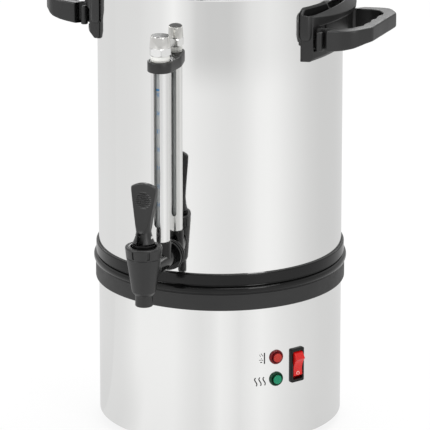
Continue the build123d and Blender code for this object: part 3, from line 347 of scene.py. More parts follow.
# %% Outlines and turning
def rounded(outline, radii, steps=6):
    """A closed outline with each corner replaced by an arc tangent to both its sides. The arc's
    centre lies on the corner's bisector, at radius / sin(half the corner's angle). One more point
    just outside each arc keeps the flat beside it flat when the mesh is shaded smooth."""
    corner = np.array(outline, float)
    radius = np.broadcast_to(np.array(radii, float), len(corner))[:, None]
    back = np.roll(corner, 1, axis=0) - corner
    ahead = np.roll(corner, -1, axis=0) - corner
    room = 0.49 * np.minimum(np.hypot(*back.T), np.hypot(*ahead.T))[:, None]
    back /= np.hypot(*back.T)[:, None]
    ahead /= np.hypot(*ahead.T)[:, None]
    half = 0.5 * np.arccos(np.clip((back * ahead).sum(1), -0.9999, 0.9999))[:, None]
    reach = np.minimum(radius / np.tan(half), room)
    radius = reach * np.tan(half)
    bisector = back + ahead
    bisector /= np.maximum(np.hypot(*bisector.T), 1e-9)[:, None]
    centre = corner + bisector * radius / np.sin(half)
    first = corner + back * reach - centre
    last = corner + ahead * reach - centre
    start = np.arctan2(first[:, 1], first[:, 0])[:, None]
    sweep = np.arctan2(last[:, 1], last[:, 0])[:, None] - start
    sweep = (sweep + np.pi) % (2 * np.pi) - np.pi
    angle = start + sweep * np.linspace(0, 1, steps)[None, :]
    arc = radius[:, :, None] * np.stack([np.cos(angle), np.sin(angle)], axis=-1)
    arc = centre[:, None, :] + arc
    keep = reach + np.minimum(0.3, 0.4 * (room - reach))
    before, after = corner + back * keep, corner + ahead * keep
    return np.concatenate([before[:, None], arc, after[:, None]], axis=1).reshape(-1, 2)


def turned(outline, segments=128, centre=(0.0, 0.0)):
    """An outline of (radius, height) turned round an upright axis."""
    angle = np.linspace(0, 2 * np.pi, segments, endpoint=False)
    return shell(polar(outline[:, :1], angle, outline[:, 1:], centre))


def on_the_wall(shell_parts, degrees, radius, height):
    """Moves a shell drawn with z outwards, x round the urn and y up to a place on the wall."""
    points, faces = shell_parts
    angle = np.radians(degrees)
    round_way = np.array([np.cos(angle), np.sin(angle), 0.0])
    upwards = np.array([0.0, 0.0, 1.0])
    outwards = np.array([np.sin(angle), -np.cos(angle), 0.0])
    origin = radius * outwards + height * upwards
    return origin + points @ np.array([round_way, upwards, outwards]), faces


# %% [markdown]
# ## The walls
#
# The tank is a straight tube with a rolled rim; the base is a shorter one that turns in at the
# floor. Both have the same outside radius, so they read as one column cut by the black band. A
# polished wall shows every facet, so both are turned with many segments.

# %% Tank
WALL_SEGMENTS = 360
RIM_TOP = 405.0
INSIDE_R, RIM_R = 104.2, 107.8
tank_outline = rounded(
    [
        (INSIDE_R, 141.0), (BODY_R, 141.0), (BODY_R, 398.6),
        (RIM_R, 399.6), (RIM_R, RIM_TOP), (INSIDE_R, RIM_TOP),
    ],
    [0.2, 0.2, 1.4, 2.2, 2.2, 1.2],
)
make_piece("tank_wall", [turned(tank_outline, WALL_SEGMENTS)], steel_wall, stands_for="tank")
print("tank wall points:", len(tank_outline) * WALL_SEGMENTS)

# %% [markdown]
# ### The base and its window
#
# The switch sits in a window cut through the base. A window in a grid is made by leaving faces
# out: grid lines are put exactly on its edges, the faces between them are dropped from the outer
# and the inner sheet, and four narrow strips close the cut through the metal.

# %% Base shell with a window
SWITCH_TURN = np.radians(62.4)
SWITCH_HEIGHT = 71.9
WINDOW = (12.8, 28.0)  # width round the wall, height


def base_with_window(outline, half_angle, low, high):
    """Turns an outline and drops the quads whose middle lies between the window's angles and
    heights, on the two sheets; strips from sheet to sheet line the cut."""
    lines = np.linspace(-np.pi, np.pi, WALL_SEGMENTS, endpoint=False)
    lines = lines[np.abs(lines) > half_angle * 1.12]
    inside = np.linspace(-half_angle, half_angle, 7)
    angle = np.sort(np.concatenate([lines, inside])) + SWITCH_TURN
    flat, faces = shell(polar(outline[:, :1], angle, outline[:, 1:]))
    middle = flat[faces].mean(axis=1)
    turn = np.arctan2(middle[:, 0], -middle[:, 1]) - SWITCH_TURN
    cut = (np.abs(turn) < half_angle) & (middle[:, 2] > low) & (middle[:, 2] < high)
    shells = [(flat, faces[~cut])]
    across = inside + SWITCH_TURN
    up = np.array([low, high])
    sheets = np.array([BODY_R, INSIDE_R])[:, None]
    strips = [polar(sheets, across, level) for level in up]
    strips += [polar(sheets, side, up) for side in across[[0, -1]]]
    return shells + [shell(strip, wrap_rows=False, wrap_columns=False) for strip in strips]


low, high = SWITCH_HEIGHT - WINDOW[1] / 2, SWITCH_HEIGHT + WINDOW[1] / 2
base_outline = rounded(
    [
        (BODY_R, 7.0), (BODY_R, low), (BODY_R, high), (BODY_R, 136.0),
        (INSIDE_R, 136.0), (INSIDE_R, high), (INSIDE_R, low), (INSIDE_R, 7.8),
        (98.0, 7.8), (98.0, 7.0),
    ],
    [0.8, 0, 0, 0.2, 0.2, 0, 0, 0.2, 0.3, 0.3],
)
make_piece(
    "base_wall",
    base_with_window(base_outline, WINDOW[0] / 2 / BODY_R, low, high),
    steel_wall,
    stands_for="base_shell",
)
print("window:", WINDOW, "mm at height", SWITCH_HEIGHT)

# %% [markdown]
# ## The black band
#
# A moulded ring covers the joint between tank and base. Its lower half carries a strip of satin
# foil, left bare here, and above it the plastic is polished: a swelling bulge, a narrow groove and
# the lip that grips the tank. Each catches a different line of light.

# %% Band
foil_outline = rounded(
    [
        (104.9, 128.0), (107.8, 128.0), (107.8, 142.2), (104.9, 142.2),
        (104.9, 141.0), (96, 141.0), (96, 136.0), (104.9, 136.0),
    ],
    [0.2, 0.7, 0.15, 0.1, 0.1, 0.4, 0.4, 0.1],
)
make_piece(
    "label_foil_band", [turned(foil_outline, WALL_SEGMENTS)], label_black, stands_for="label_band"
)
BULGE_START = 0.55  # radians from the ellipse's lowest point
bulge = np.linspace(0, np.pi / 2, 10)
bulge_way = bulge + BULGE_START
bulge_outline = np.vstack(
    [
        [(105.0, 142.25), (107.9, 142.25), (108.25, 142.6)],
        np.column_stack([107.0 + 2.4 * np.sin(bulge_way), 146.4 - 3.4 * np.cos(bulge_way)]),
        [(107.2, 149.3), (106.3, 149.5), (106.1, 149.9), (106.1, 150.55), (105.0, 150.55)],
    ]
)
make_piece(
    "gloss_bulge_ring", [turned(bulge_outline, WALL_SEGMENTS)], gloss_black
)
lip_outline = rounded(
    [(105.1, 150.6), (107.4, 150.6), (107.3, 160.0), (105.1, 160.0)], [0.1, 0.5, 2.0, 0.3], steps=10
)
make_piece(
    "gloss_lip_ring", [turned(lip_outline, WALL_SEGMENTS)], gloss_black, stands_for="band_lip"
)
print("band from 128 to 160 mm, widest", round(bulge_outline[:, 0].max(), 2))

# %% [markdown]
# ## Lid and knob
#
# The lid is one pressed disc: a flange over the rim, a plug that centres it, a valley and a shallow
# dome, whose height falls with the square of the radius. The knob is a turned moulding with a
# wide, softly edged head.

# %% Lid
SHEET, DOME_R = 0.8, 101.7
crown, dome_drop = 414.3, 15.0
dome_r = np.linspace(100.8, 6.0, 30)
dome = np.column_stack([dome_r, crown - dome_drop * (dome_r / DOME_R) ** 2])
lid_outline = np.vstack(
    [
        [(101.2, 399.3), (102.6, 399.3), (103.1, 399.6), (103.3, 400.2), (103.3, 404.9)],
        [(103.5, 405.2), (103.9, 405.3), (107.8, 405.3), (108.1, 405.45), (108.2, 405.7)],
        [(108.1, 405.95), (107.8, 406.1), (103.6, 406.1), (102.9, 405.9), (102.5, 405.3)],
        [(102.5, 400.8), (102.3, 400.4), (101.9, 400.15), (101.4, 400.1)],
        dome + (0, SHEET),
        [(6.0, crown)],
        dome[::-1],
    ]
)
make_piece(
    "lid_dome", [turned(lid_outline, WALL_SEGMENTS)], steel_wall, body="lid", stands_for="lid"
)

# %% Knob
knob_outline = rounded(
    [
        (3.2, 415.1), (10.0, 415.1), (8.2, 420.0), (8.6, 429.4), (21.0, 430.2),
        (21.0, 443.0), (12.0, 444.1), (0.0, 444.1), (0.0, 425.0), (3.2, 425.0),
    ],
    [0.3, 0.8, 4.0, 2.2, 3.0, 4.0, 6.0, 0, 0, 0.3],
    steps=9,
)
make_piece(
    "lid_knob_head", [turned(knob_outline)], grained_black, body="lid", stands_for="lid_knob"
)
print("lid and knob up to", knob_outline[:, 1].max())

# %% [markdown]
# ## Handles
#
# One moulding serves both sides. A curved block lies against the tank, with a shallow pocket at
# each end, a flange over the fingers, and a flat loop that reaches out. The block's ends are cut
# parallel to the way the mould opens, not square to the wall, so the angle at which it stops
# changes with the radius.

# %% Shapes that follow the wall
def eased(outline, depth):
    """An outline drawn in along its normals by a depth: the shape of the last few slices of a
    block whose end is rounded."""
    following = np.roll(outline, -1, axis=0)
    ahead = following - np.roll(outline, 1, axis=0)
    normal = np.column_stack([-ahead[:, 1], ahead[:, 0]])
    normal /= np.maximum(np.hypot(*normal.T), 1e-9)[:, None]
    area = (outline[:, 0] * following[:, 1] - following[:, 0] * outline[:, 1]).sum()
    return outline + depth * normal * np.sign(area)


def round_ends(length, radius, slices=5):
    """Places along a block and how far its outline is drawn in there: a quarter circle at each
    end, so that place = r (1 - cos t) and depth = r (1 - sin t)."""
    turn = np.linspace(0, np.pi / 2, slices)
    place, depth = radius * (1 - np.cos(turn)), radius * (1 - np.sin(turn))
    middle = np.linspace(radius, length - radius, 40)[1:-1]
    places = np.concatenate([place, middle, (length - place)[::-1]])
    return places, np.concatenate([depth, 0 * middle, depth[::-1]])


def curved_block(
    first, start, stop, lean_start=0.0, lean_stop=0.0, last=None, blend=None, soft=0.8
):
    """A block that follows the wall. Its outline of (radius, height) goes from first to last by a
    blend of the way along, its ends are rounded, and each end leans: its angle changes by so many
    degrees for each millimetre of radius above the wall."""
    last = first if last is None else last
    arc = np.radians(stop - start) * BODY_R
    places, depth = round_ends(arc, soft)
    way = places / arc
    weight = way if blend is None else blend(way)
    outlines = first + (last - first) * weight[:, None, None]
    drawn = np.stack([eased(outline, deep) for outline, deep in zip(outlines, depth)])
    drawn, way = with_poles(drawn), np.concatenate([way[:1], way, way[-1:]])[:, None]
    radius, height = drawn[..., 0], drawn[..., 1]
    from_angle = start + lean_start * (radius - BODY_R)
    to_angle = stop + lean_stop * (radius - BODY_R)
    angle = np.radians(from_angle + (to_angle - from_angle) * way)
    return shell(polar(radius, angle + np.pi / 2, height), wrap_rows=False)


# %% Mounting block, pockets and flange
FRONT, BACK = -26.3, 36.8  # where the mounting block ends, in degrees, at the wall
LEAN_FRONT, LEAN_BACK = 0.52, -0.40  # how its ends lean, in degrees per millimetre
SEAT_R, FACE_R = 105.1, 112.5  # radius of the block's inner and outer face


def slab(low, cut, face, top):
    """The block's outline: a rectangle of (radius, height) whose lower outer corner is cut off."""
    corners = [(SEAT_R, low), (face - 0.7 * cut, low), (face, low + cut), (face, top)]
    return rounded(corners + [(SEAT_R, top)], [0.3, 1.2, 1.2, 0.8, 0.3])


boss = rounded(
    [(SEAT_R, 346.0), (112.9, 346.0), (112.9, 371.0), (SEAT_R, 371.0)], [0.3, 0.8, 0.8, 0.3]
)
flange_start = rounded(
    [(110.3, 368.5), (112.6, 368.5), (112.7, 378.0), (110.3, 379.0)], [0.3, 0.9, 0.9, 0.7]
)
flange_middle = rounded(
    [(110.3, 371.0), (117.5, 371.0), (118.1, 375.2), (110.3, 382.2)], [0.3, 0.9, 1.5, 0.7]
)
front_leg, back_leg = slab(339.3, 2.6, FACE_R, 377.5), slab(344.2, 4.8, FACE_R, 377.5)
front_pad, back_pad = slab(340.2, 1.5, 109.6, 372.0), slab(344.8, 1.5, 109.6, 372.0)
front_sill, back_sill = slab(339.5, 2.6, FACE_R, 348.4), slab(344.3, 4.6, FACE_R, 352.0)
mount_shells = [
    curved_block(front_leg, FRONT, FRONT + 2.4, LEAN_FRONT, 0.26),
    curved_block(back_leg, BACK - 2.4, BACK, -0.24, LEAN_BACK),
    curved_block(front_pad, FRONT + 2, BACK - 2, 0.2, -0.2, last=back_pad, soft=0.4),
    curved_block(front_sill, FRONT + 1, BACK - 1, 0.45, -0.38, last=back_sill, soft=0.5),
    curved_block(boss, -14.0, 8.0, soft=1.0),
    curved_block(
        flange_start,
        FRONT,
        BACK,
        LEAN_FRONT,
        LEAN_BACK,
        last=flange_middle,
        blend=lambda way: np.sin(np.pi * way) ** 0.9,
        soft=0.5,
    ),
]


def pocket(start, stop, rise_at, painted_shade=False):
    """An open-topped pocket on the wall: a thin strip folded round an oval plan and lofted from
    floor to rim. The strip's plan is a superellipse in (angle, radius), and its ends lean like the
    block's; the rim dips towards them. With painted_shade set, it gives instead a second, thinner
    strip just inside it: painted shade, a darker black sheet where the pocket's hollow is in shade."""
    inner_r, outer_r, wall = 105.15, 111.9, 1.5
    mid, half = (inner_r + outer_r) / 2, (outer_r - inner_r) / 2
    turn = np.linspace(0, 2 * np.pi, 96, endpoint=False)
    reach = np.radians(stop - start) * BODY_R / 2
    squareness, dip_length, dip_share = 0.28, 5.0, 0.85
    cosine, sine = np.cos(turn), np.sin(turn)
    end_share = np.abs(cosine) ** squareness
    along = np.sign(cosine) * reach * end_share
    out = np.sign(sine) * half * np.abs(sine) ** squareness
    lean = np.where(cosine < 0, LEAN_FRONT, LEAN_BACK) * end_share
    dip = np.clip(1 - reach * (1 - end_share) / dip_length, 0, 1) ** 2
    back = 0.5 - 0.5 * np.sign(out) * np.minimum(1, np.abs(out) / half * 1.4)
    front_rim, back_rim = rise_at

    def level(shrink, low, high=None):
        """A row of the strip, drawn in all round. Its height goes from low in front to high at
        the wall."""
        radius = mid + out * (half - shrink) / half
        angle = np.radians((start + stop) / 2 + lean * (radius - BODY_R))
        angle = angle + along * (reach - shrink) / reach / BODY_R
        height = low + ((low if high is None else high) - low) * back * (1 - dip_share * dip)
        return polar(radius, angle + np.pi / 2, height)

    def rim(shrink, drop, drop_back=None):
        """A row just below the rim, by as much at the wall as in front unless given."""
        drop_back = drop if drop_back is None else drop_back
        return level(shrink, front_rim - drop, back_rim - drop_back)

    # painted shade: a darker sheet over the pocket's floor and inner walls, where the hollow is in
    # shade
    if painted_shade:
        rows = [level(half, 358.75), level(wall + 0.6, 358.75), level(wall + 0.03, 359.8)]
        rows += [rim(wall + 0.03, 1.3, 1.6), rim(wall + 0.15, 1.3, 1.6)]
        rows += [level(wall + 0.15, 359.9), level(wall + 0.7, 358.9), level(half, 358.9)]
        return shell(np.stack(rows), wrap_rows=False)
    rows = [level(half, 357.2), level(2.6, 357.2), level(1.1, 358.2), level(0.3, 360.0)]
    rows += [level(0.0, 362.4), rim(0.0, 0.8), rim(0.25, 0.2), rim(0.75, 0.0)]
    rows += [rim(wall - 0.25, 0.2), rim(wall, 0.9)]
    rows += [level(wall, 359.6), level(wall + 0.5, 358.7), level(half, 358.7)]
    return shell(np.stack(rows), wrap_rows=False)


POCKETS = ((-27.6, -6.0), (22.5, 38.0))
POCKET_RISE = (379.2, 385.6)  # rim heights in front and at the wall
mount_shells += [pocket(start, stop, POCKET_RISE) for start, stop in POCKETS]
# the pockets' painted shade: a darker black sheet inside each of them
painted_shade_shells = [pocket(start, stop, POCKET_RISE, painted_shade=True) for start, stop in POCKETS]

# %% [markdown]
# ### The loop
#
# The loop is a closed band: an outer outline and an inner one, each a rounded polygon in plan.
# Going round the section, every point blends between the two outlines, and its height follows how
# far out it is, because the loop's underside climbs towards the fingers. A superellipse rounds
# the section's corners.

# %% Grip loop
LOOP_SECTION = 40


def closed_run(outline, count):
    """Evenly spaced points round a closed outline, by its running length."""
    loop = np.vstack([outline, outline[:1]])
    run = np.concatenate([[0], np.cumsum(np.hypot(*np.diff(loop, axis=0).T))])
    place = np.linspace(0, run[-1], count, endpoint=False)
    return np.column_stack([np.interp(place, run, loop[:, axis]) for axis in (0, 1)])


REACH = 150.5  # of the fingers' side, from the urn's axis
outer_plan = rounded(
    [
        (100, -37.5), (115.4, -37.5), (116.6, -44.5), (131, -44.5), (141, -40), (REACH, -24),
        (REACH, 30), (141, 42.5), (131, 44.5), (116.6, 44.5), (115.4, 37.5), (100, 37.5),
    ],
    [3, 0.6, 1.2, 24, 18, 9, 9, 16, 22, 1.2, 0.6, 3],
    steps=12,
)
inner_plan = rounded(
    [
        (108, -36.0), (127, -36.0), (134, -31), (139.3, -19),
        (139.3, 26), (133.5, 33), (125, 36.0), (108, 36.0),
    ],
    [3, 14, 12, 6, 6, 9, 12, 3],
    steps=12,
)
LOOP_POINTS = 420
outside, inside_run = closed_run(outer_plan, LOOP_POINTS), closed_run(inner_plan, LOOP_POINTS)
nearest = np.argmin(np.hypot(*(outside[0] - inside_run).T))
inside_run = np.roll(inside_run, -nearest, axis=0)
# finger grooves: arcs of one radius, evenly spaced along the straight side
GROOVES, PITCH, GROOVE_R, GROOVE_DIP = 28.5, 14, 8.0, 6.6
grip = (inside_run[:, 0] > 136.0) & (np.abs(inside_run[:, 1]) < GROOVES)
from_middle = (inside_run[:, 1] + 2 * PITCH) % PITCH - PITCH / 2
scallop = np.sqrt(np.maximum(0, GROOVE_R**2 - from_middle**2)) - GROOVE_DIP
inside_run[:, 0] += np.where(grip, np.maximum(0, scallop), 0)


def loop_top(x):
    """Height of the loop's top face: level at the fingers, dropping a little towards the wall."""
    return np.interp(x, [100, 117, 139, 151], [368.2, 368.2, 369.8, 370.0])


def loop_bottom(x):
    """Height of the underside: deep at the wall, climbing faster and faster to the fingers."""
    return np.interp(x, [117, 124, 131, 139, 146, 151], [350.0, 350.8, 351.9, 353.7, 356.3, 357.6])


CORNER = 0.22  # the superellipse's power: the smaller, the squarer
section = np.linspace(0, 2 * np.pi, LOOP_SECTION, endpoint=False) + np.pi / 4
across = np.sign(np.cos(section)) * np.abs(np.cos(section)) ** CORNER
upward = np.sign(np.sin(section)) * np.abs(np.sin(section)) ** CORNER
blend_out = (0.5 + 0.5 * across)[None, :, None]
plan = inside_run[:, None] + (outside - inside_run)[:, None] * blend_out
top, bottom = loop_top(plan[..., 0]), loop_bottom(plan[..., 0])
loop_height = (top + bottom) / 2 + (top - bottom) / 2 * upward
loop_shell = shell(np.concatenate([plan, loop_height[..., None]], axis=-1))


def bead(x, y, low, high, radius=3.0):
    """A half-round upright rib with a rounded top: a turned outline about its own axis."""
    outline = rounded([(0, low), (radius, low), (radius, high), (0, high)], [0, 0.8, 1.2, 0])
    return turned(outline, 32, (x, y))


beads = [bead(109.7, -41.6, 349.5, 366.0), bead(109.0, 41.0, 349.5, 366.0)]
handle_shells = mount_shells + [loop_shell] + beads
for side, flip in (("right", np.array([1.0, 1.0, 1.0])), ("left", np.array([-1.0, -1.0, 1.0]))):
    make_piece(
        "handle_" + side + "_moulding",
        [(points * flip, faces) for points, faces in handle_shells],
        grained_black,
        stands_for="handle_" + side,
        sharp=42.0,
    )
    # painted shade: each pocket's hollow gets a darker black sheet inside it
    make_piece(
        "handle_" + side + "_pocket_painted_shade",
        [(points * flip, faces) for points, faces in painted_shade_shells],
        painted_shade_black,
    )
print("handle reaches", round(plan[..., 0].max(), 1), "mm from the axis")

# %% [markdown]
# ## The tap
#
# The tap hangs from a socket in front of the gauge: a tapered body with a plain spout, a union
# nut with grip notches, and a thumb lever. Body and nut are turned; the notches are grooves, cut
# by making the radius depend on the angle as well as on the height.

# %% Tap body
TAP_REACH, TAP_AXIS_HEIGHT = 157.0, 175.0
tap_centre = (0.0, -TAP_REACH)
body_outline = rounded(
    [
        (5.0, 144.9), (7.5, 144.9), (7.4, 154.4), (10.2, 157.6), (14.75, 187.5), (12.4, 187.5),
        (12.4, 194.5), (10.4, 194.5), (10.4, 180.0), (7.5, 163.0), (7.5, 161.5), (5.0, 160.0),
    ],
    [0.4, 0.8, 0.4, 0.9, 0.4, 0.2, 0.3, 0.3, 1.0, 0.4, 0.4, 0.4],
)
socket_outline = rounded([(7.5, 0.0), (10.2, 0.0), (10.2, 3.6), (7.5, 3.6)], [0.2, 0.6, 0.1, 0.1])
socket = on_the_wall(turned(socket_outline, 64), 0.0, TAP_REACH - 14.0, TAP_AXIS_HEIGHT)
make_piece(
    "tap_body_moulding",
    [turned(body_outline, 128, tap_centre), socket],
    grained_black,
    stands_for="tap_body",
)


# %% Union nut with grip notches
NUT_OUTSIDE = 14.0  # rows further out than this are on the nut's outer side
NOTCH_SIDE = 0.012  # radians over which a notch's side rises, to either hand of its edge


def notched(outline, centre, middles, half_width, depth, low, high, segments=160):
    """A turned outline whose radius is less by a depth inside each notch: between its two angles,
    and on the rows whose height lies between low and high on the outer side."""
    edges = np.concatenate([middles - half_width, middles + half_width])
    pairs = np.concatenate([edges - NOTCH_SIDE, edges + NOTCH_SIDE])
    plain = np.linspace(-np.pi, np.pi, segments, endpoint=False)
    angle = np.sort(np.concatenate([plain, (pairs + np.pi) % (2 * np.pi) - np.pi]))
    gap = (angle[:, None] - middles + np.pi) % (2 * np.pi) - np.pi
    inside = (np.abs(gap) < half_width).any(axis=1)
    radius, height = outline[:, :1], outline[:, 1:]
    outer = (radius > NUT_OUTSIDE) & (height > low) & (height < high)
    return shell(polar(radius - depth * (outer & inside), angle, height, centre))


nut_outline = np.vstack(
    [
        [(12.45, 187.55), (14.6, 187.55), (14.85, 187.75), (14.75, 188.15), (14.95, 188.5)],
        [(15.0, 188.8), (15.02, 188.85), (15.68, 195.35), (15.7, 195.4), (15.72, 196.1)],
        [(15.55, 196.8), (15.1, 197.2), (14.6, 197.3), (11.6, 197.25), (11.2, 197.0)],
        [(11.05, 196.5), (11.0, 195.5), (10.8, 195.1), (9.95, 195.1)],
        [(9.95, 194.9), (12.45, 194.9)],
    ]
)
NOTCHES, FIRST_NOTCH = 7, -11.8  # how many, and where the first is, in degrees
notch_middles = np.radians(FIRST_NOTCH + 360 / NOTCHES * np.arange(NOTCHES))
nut = notched(
    nut_outline, tap_centre, notch_middles, half_width=0.055, depth=0.9, low=188.82, high=195.37
)
make_piece("tap_union_nut", [nut], grained_black, stands_for="tap_collar")
print("notches at", np.round(np.degrees(notch_middles)).tolist())

# %% [markdown]
# ### Thumb lever
#
# The lever is a blade on a skirted foot. Its section is a rounded rectangle whose half-width,
# half-depth and corner radius are all functions of height, and the whole blade leans back a
# little. The top is cut by a shallow arc. A ribbed oval for the thumb is pressed into the front:
# a dish with a cosine wave across it, faded out at the oval's rim. Two half-round legs straddle
# the stem.

# %% Thumb lever
LEVER_FOOT, BLADE_FOOT, LEVER_TOP, LEVER_HALF = 200.3, 209.6, 251.5, 11.3
TOP_SAG = 3.3  # how far the top's corners lie below its middle
OVAL_HEIGHT, OVAL_HALF = 237.6, (8.0, 7.6)  # the thumb's oval: its middle and its half sizes
RIB_PITCH, RIB_MEAN, RIB_WAVE = 1.7, 0.32, 0.40


def section_columns(face=61, side=7, corner=7):
    """The four numbers that place each column of a rounded rectangle: x = sx (w - e) + e cx and
    y = sy (d - e) + e cy, going round from the front left corner."""
    turn = np.linspace(0, np.pi / 2, corner)[1:-1]
    run, short = np.linspace(-1, 1, face), np.linspace(-1, 1, side)
    nought, one = np.zeros, np.ones
    parts = [
        (run, nought(face), -one(face), -one(face)),
        (one(len(turn)), np.sin(turn), -one(len(turn)), -np.cos(turn)),
        (one(side), one(side), short, nought(side)),
        (one(len(turn)), np.cos(turn), one(len(turn)), np.sin(turn)),
        (-run, nought(face), one(face), one(face)),
        (-one(len(turn)), -np.sin(turn), one(len(turn)), np.cos(turn)),
        (-one(side), -one(side), -short, nought(side)),
        (-one(len(turn)), -np.cos(turn), -one(len(turn)), -np.sin(turn)),
    ]
    return [np.concatenate(column) for column in zip(*parts)]


sx, cx, sy, cy = section_columns()
way = np.concatenate(
    [np.linspace(0, 0.5, 26), np.linspace(0.505, 0.97, 94), [0.978, 0.986, 0.993, 1.0]]
)
level = BLADE_FOOT + way * (LEVER_TOP - BLADE_FOOT)
marks = [BLADE_FOOT, 211.5, 216.0, 224.0, 232.0, 240.0, 248.3, LEVER_TOP]
half_width = np.interp(level, marks, [6.3, 6.35, 6.75, 7.85, 9.05, 10.2, 11.25, LEVER_HALF])
half_depth = np.interp(level, marks, [6.2, 5.4, 4.7, 4.1, 3.6, 3.1, 2.7, 2.6])
lean = np.interp(level, marks, [0.0, 0.05, 0.3, 0.7, 1.05, 1.35, 1.6, 1.7])
corner_radius = np.interp(level, marks, [6.0, 4.2, 2.4, 1.4, 1.1, 0.9, 0.8, 0.8])
smooth = np.ones(9) / 9
half_width[5:-8], half_depth[5:-8] = (
    np.convolve(values, smooth, "same")[5:-8] for values in (half_width, half_depth)
)
ending = np.clip((LEVER_TOP - level) / 1.0, 0, 1)
depth_now = half_depth - 0.9 * (1 - np.sqrt(1 - (1 - ending) ** 2))
side_corner = corner_radius.clip(max=depth_now - 0.05)
x = sx * (half_width - corner_radius)[:, None] + corner_radius[:, None] * cx
y = sy * (depth_now - side_corner)[:, None] + side_corner[:, None] * cy
at = level[:, None]
z = at - TOP_SAG * (x / LEVER_HALF) ** 2 * np.clip((at - 214.0) / 30.0, 0, 1)
front = (sy < 0) & (cx == 0)
oval = (x / OVAL_HALF[0]) ** 2 + ((z - OVAL_HEIGHT) / OVAL_HALF[1]) ** 2
fade = np.clip((1 - oval) * 2.0, 0, 1)
ribs = RIB_MEAN + RIB_WAVE * np.cos(2 * np.pi * (z - OVAL_HEIGHT) / RIB_PITCH)
hollow = 0.5 * np.clip(1 - (x / half_width[:, None]) ** 2, 0, 1) * np.clip((at - 216) / 14, 0, 1)
y = y + np.where(front, hollow + fade * ribs, 0) + lean[:, None]
blade = np.stack([x, y - TAP_REACH, z], axis=-1)
foot = blade[:1].mean(axis=1, keepdims=True) + 0 * blade[:1]
ridge = blade[-1:].copy()
ridge[..., 1] = lean[-1] - TAP_REACH
lever_shells = [shell(np.concatenate([foot, blade, ridge]), wrap_rows=False)]


def half_leg(side):
    """One leg of the foot: a circle with a flat side near the stem, its radius a function of
    height, closed above and below to its own middle."""
    height = np.array(
        [LEVER_FOOT, 200.35, 200.7, 201.3, 203.3, 205.5, 207.6, 209.2, 210.2, 210.2]
    )
    reach = np.array([8.8, 9.0, 9.1, 8.9, 8.0, 7.3, 6.85, 6.5, 6.3, 6.2])
    stem_gap = 3.2
    half = np.arccos(stem_gap / reach)[:, None]
    turn = half * np.linspace(-1, 1, 33)
    arc = np.stack([reach[:, None] * np.cos(turn), reach[:, None] * np.sin(turn)], axis=-1)
    flat = arc[:, -1:] + (arc[:, :1] - arc[:, -1:]) * np.linspace(0, 1, 9)[1:-1, None]
    ring = np.concatenate([arc, flat], axis=1)
    up = height[:, None] + 0 * ring[..., 0]
    return capped(np.stack([side * ring[..., 0], ring[..., 1] - TAP_REACH, up], axis=-1))


lever_shells += [half_leg(1), half_leg(-1)]
make_piece(
    "thumb_lever",
    lever_shells,
    grained_black,
    body="lever",
    stands_for="tap_lever",
    sharp=50.0,
)
print("lever from", LEVER_FOOT, "to", LEVER_TOP, "mm")

# %% [markdown]
# ### Return spring
#
# Inside the neck a coil spring presses the piston shut. It is a circle of wire swept along a helix
# between two fixed ends.

# %% Return spring
SPRING = (184.0, 194.5)  # lower and upper end, mm
COIL_R, WIRE_R, COILS = 5.4, 0.5, 4
turn = np.linspace(0, 2 * np.pi * COILS, 48 * COILS + 1)[:, None]
round_wire = np.linspace(0, 2 * np.pi, 12, endpoint=False)[None, :]
rise = SPRING[0] + WIRE_R + (SPRING[1] - SPRING[0] - 2 * WIRE_R) * turn / turn[-1]
wire = polar(
    COIL_R + WIRE_R * np.cos(round_wire), turn, rise + WIRE_R * np.sin(round_wire), tap_centre
)
spring = make_piece("tap_coil_spring", [capped(wire)], steel_tube, stands_for="tap_spring")
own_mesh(spring)
print("spring turns:", COILS)

# %% [markdown]
# ## The sight gauge
#
# A glass tube stands in a polished guard tube with a long slot in front and another behind. The
# guard is made in two halves, each a double sheet that runs from one slot's edge to the other's.
# Where there is no slot the edge angle is nought and the halves meet; at a slot's end the angle
# follows a half circle, angle = arcsin(sqrt(r^2 - z^2) / R).

# %% Guard tube
GAUGE_REACH = 123.0
gauge_centre = (0.0, -GAUGE_REACH)
GUARD, GUARD_STEPS = (7.85, 6.9), 65  # outside and inside radius, and points from slot to slot
SLOT_HALF, SLOT_LOW, SLOT_HIGH = 2.7, 205.5, 343.0
arc_way = SLOT_HALF * (1 - np.cos(np.linspace(0, np.pi / 2, 9)))
guard_levels = np.concatenate(
    [
        [192.0, 192.15, 193.0, 197.0, 201.0, 205.0],
        SLOT_LOW + arc_way,
        np.linspace(SLOT_LOW + 6, SLOT_HIGH - 6, 24),
        (SLOT_HIGH - arc_way)[::-1],
        [343.6, 346.0, 349.0],
    ]
)
from_end = np.minimum(guard_levels - SLOT_LOW, SLOT_HIGH - guard_levels)
rise = np.clip(SLOT_HALF - from_end, 0, SLOT_HALF)
half_slot = np.where(from_end > 0, np.sqrt(np.maximum(SLOT_HALF**2 - rise**2, 0)), 0)
edge = np.arcsin(half_slot / GUARD[0])[:, None]
sweep = edge + (np.pi - 2 * edge) * np.linspace(0, 1, GUARD_STEPS)
up = guard_levels[:, None]
soften = np.where(up == guard_levels[0], 0.12, 0)  # both edges of the tube's foot are eased
guard_shells = []
for side in (1, -1):
    outside = polar(GUARD[0] - soften, side * sweep, up, gauge_centre)
    inside = polar(GUARD[1] + soften, side * sweep[:, ::-1], up, gauge_centre)
    double = np.concatenate([outside, inside], axis=1)
    guard_shells.append(shell(double, wrap_rows=False))
    for end in (double[:1], double[-1:]):
        rim = np.concatenate([end[:, :GUARD_STEPS], end[:, GUARD_STEPS:][:, ::-1]])
        guard_shells.append(shell(rim, wrap_rows=False, wrap_columns=False))
make_piece(
    "gauge_guard_tube", guard_shells, steel_tube, stands_for="gauge_guard", sharp=50.0
)
print("guard slots from", SLOT_LOW, "to", SLOT_HIGH, "mm")

# %% [markdown]
# ### Bracket, washer, nut and cap
#
# A black block holds the top of the gauge off the tank: round in front, straight at the sides,
# hollowed at the back to fit the wall. It is lofted from its plan inwards to its bore.

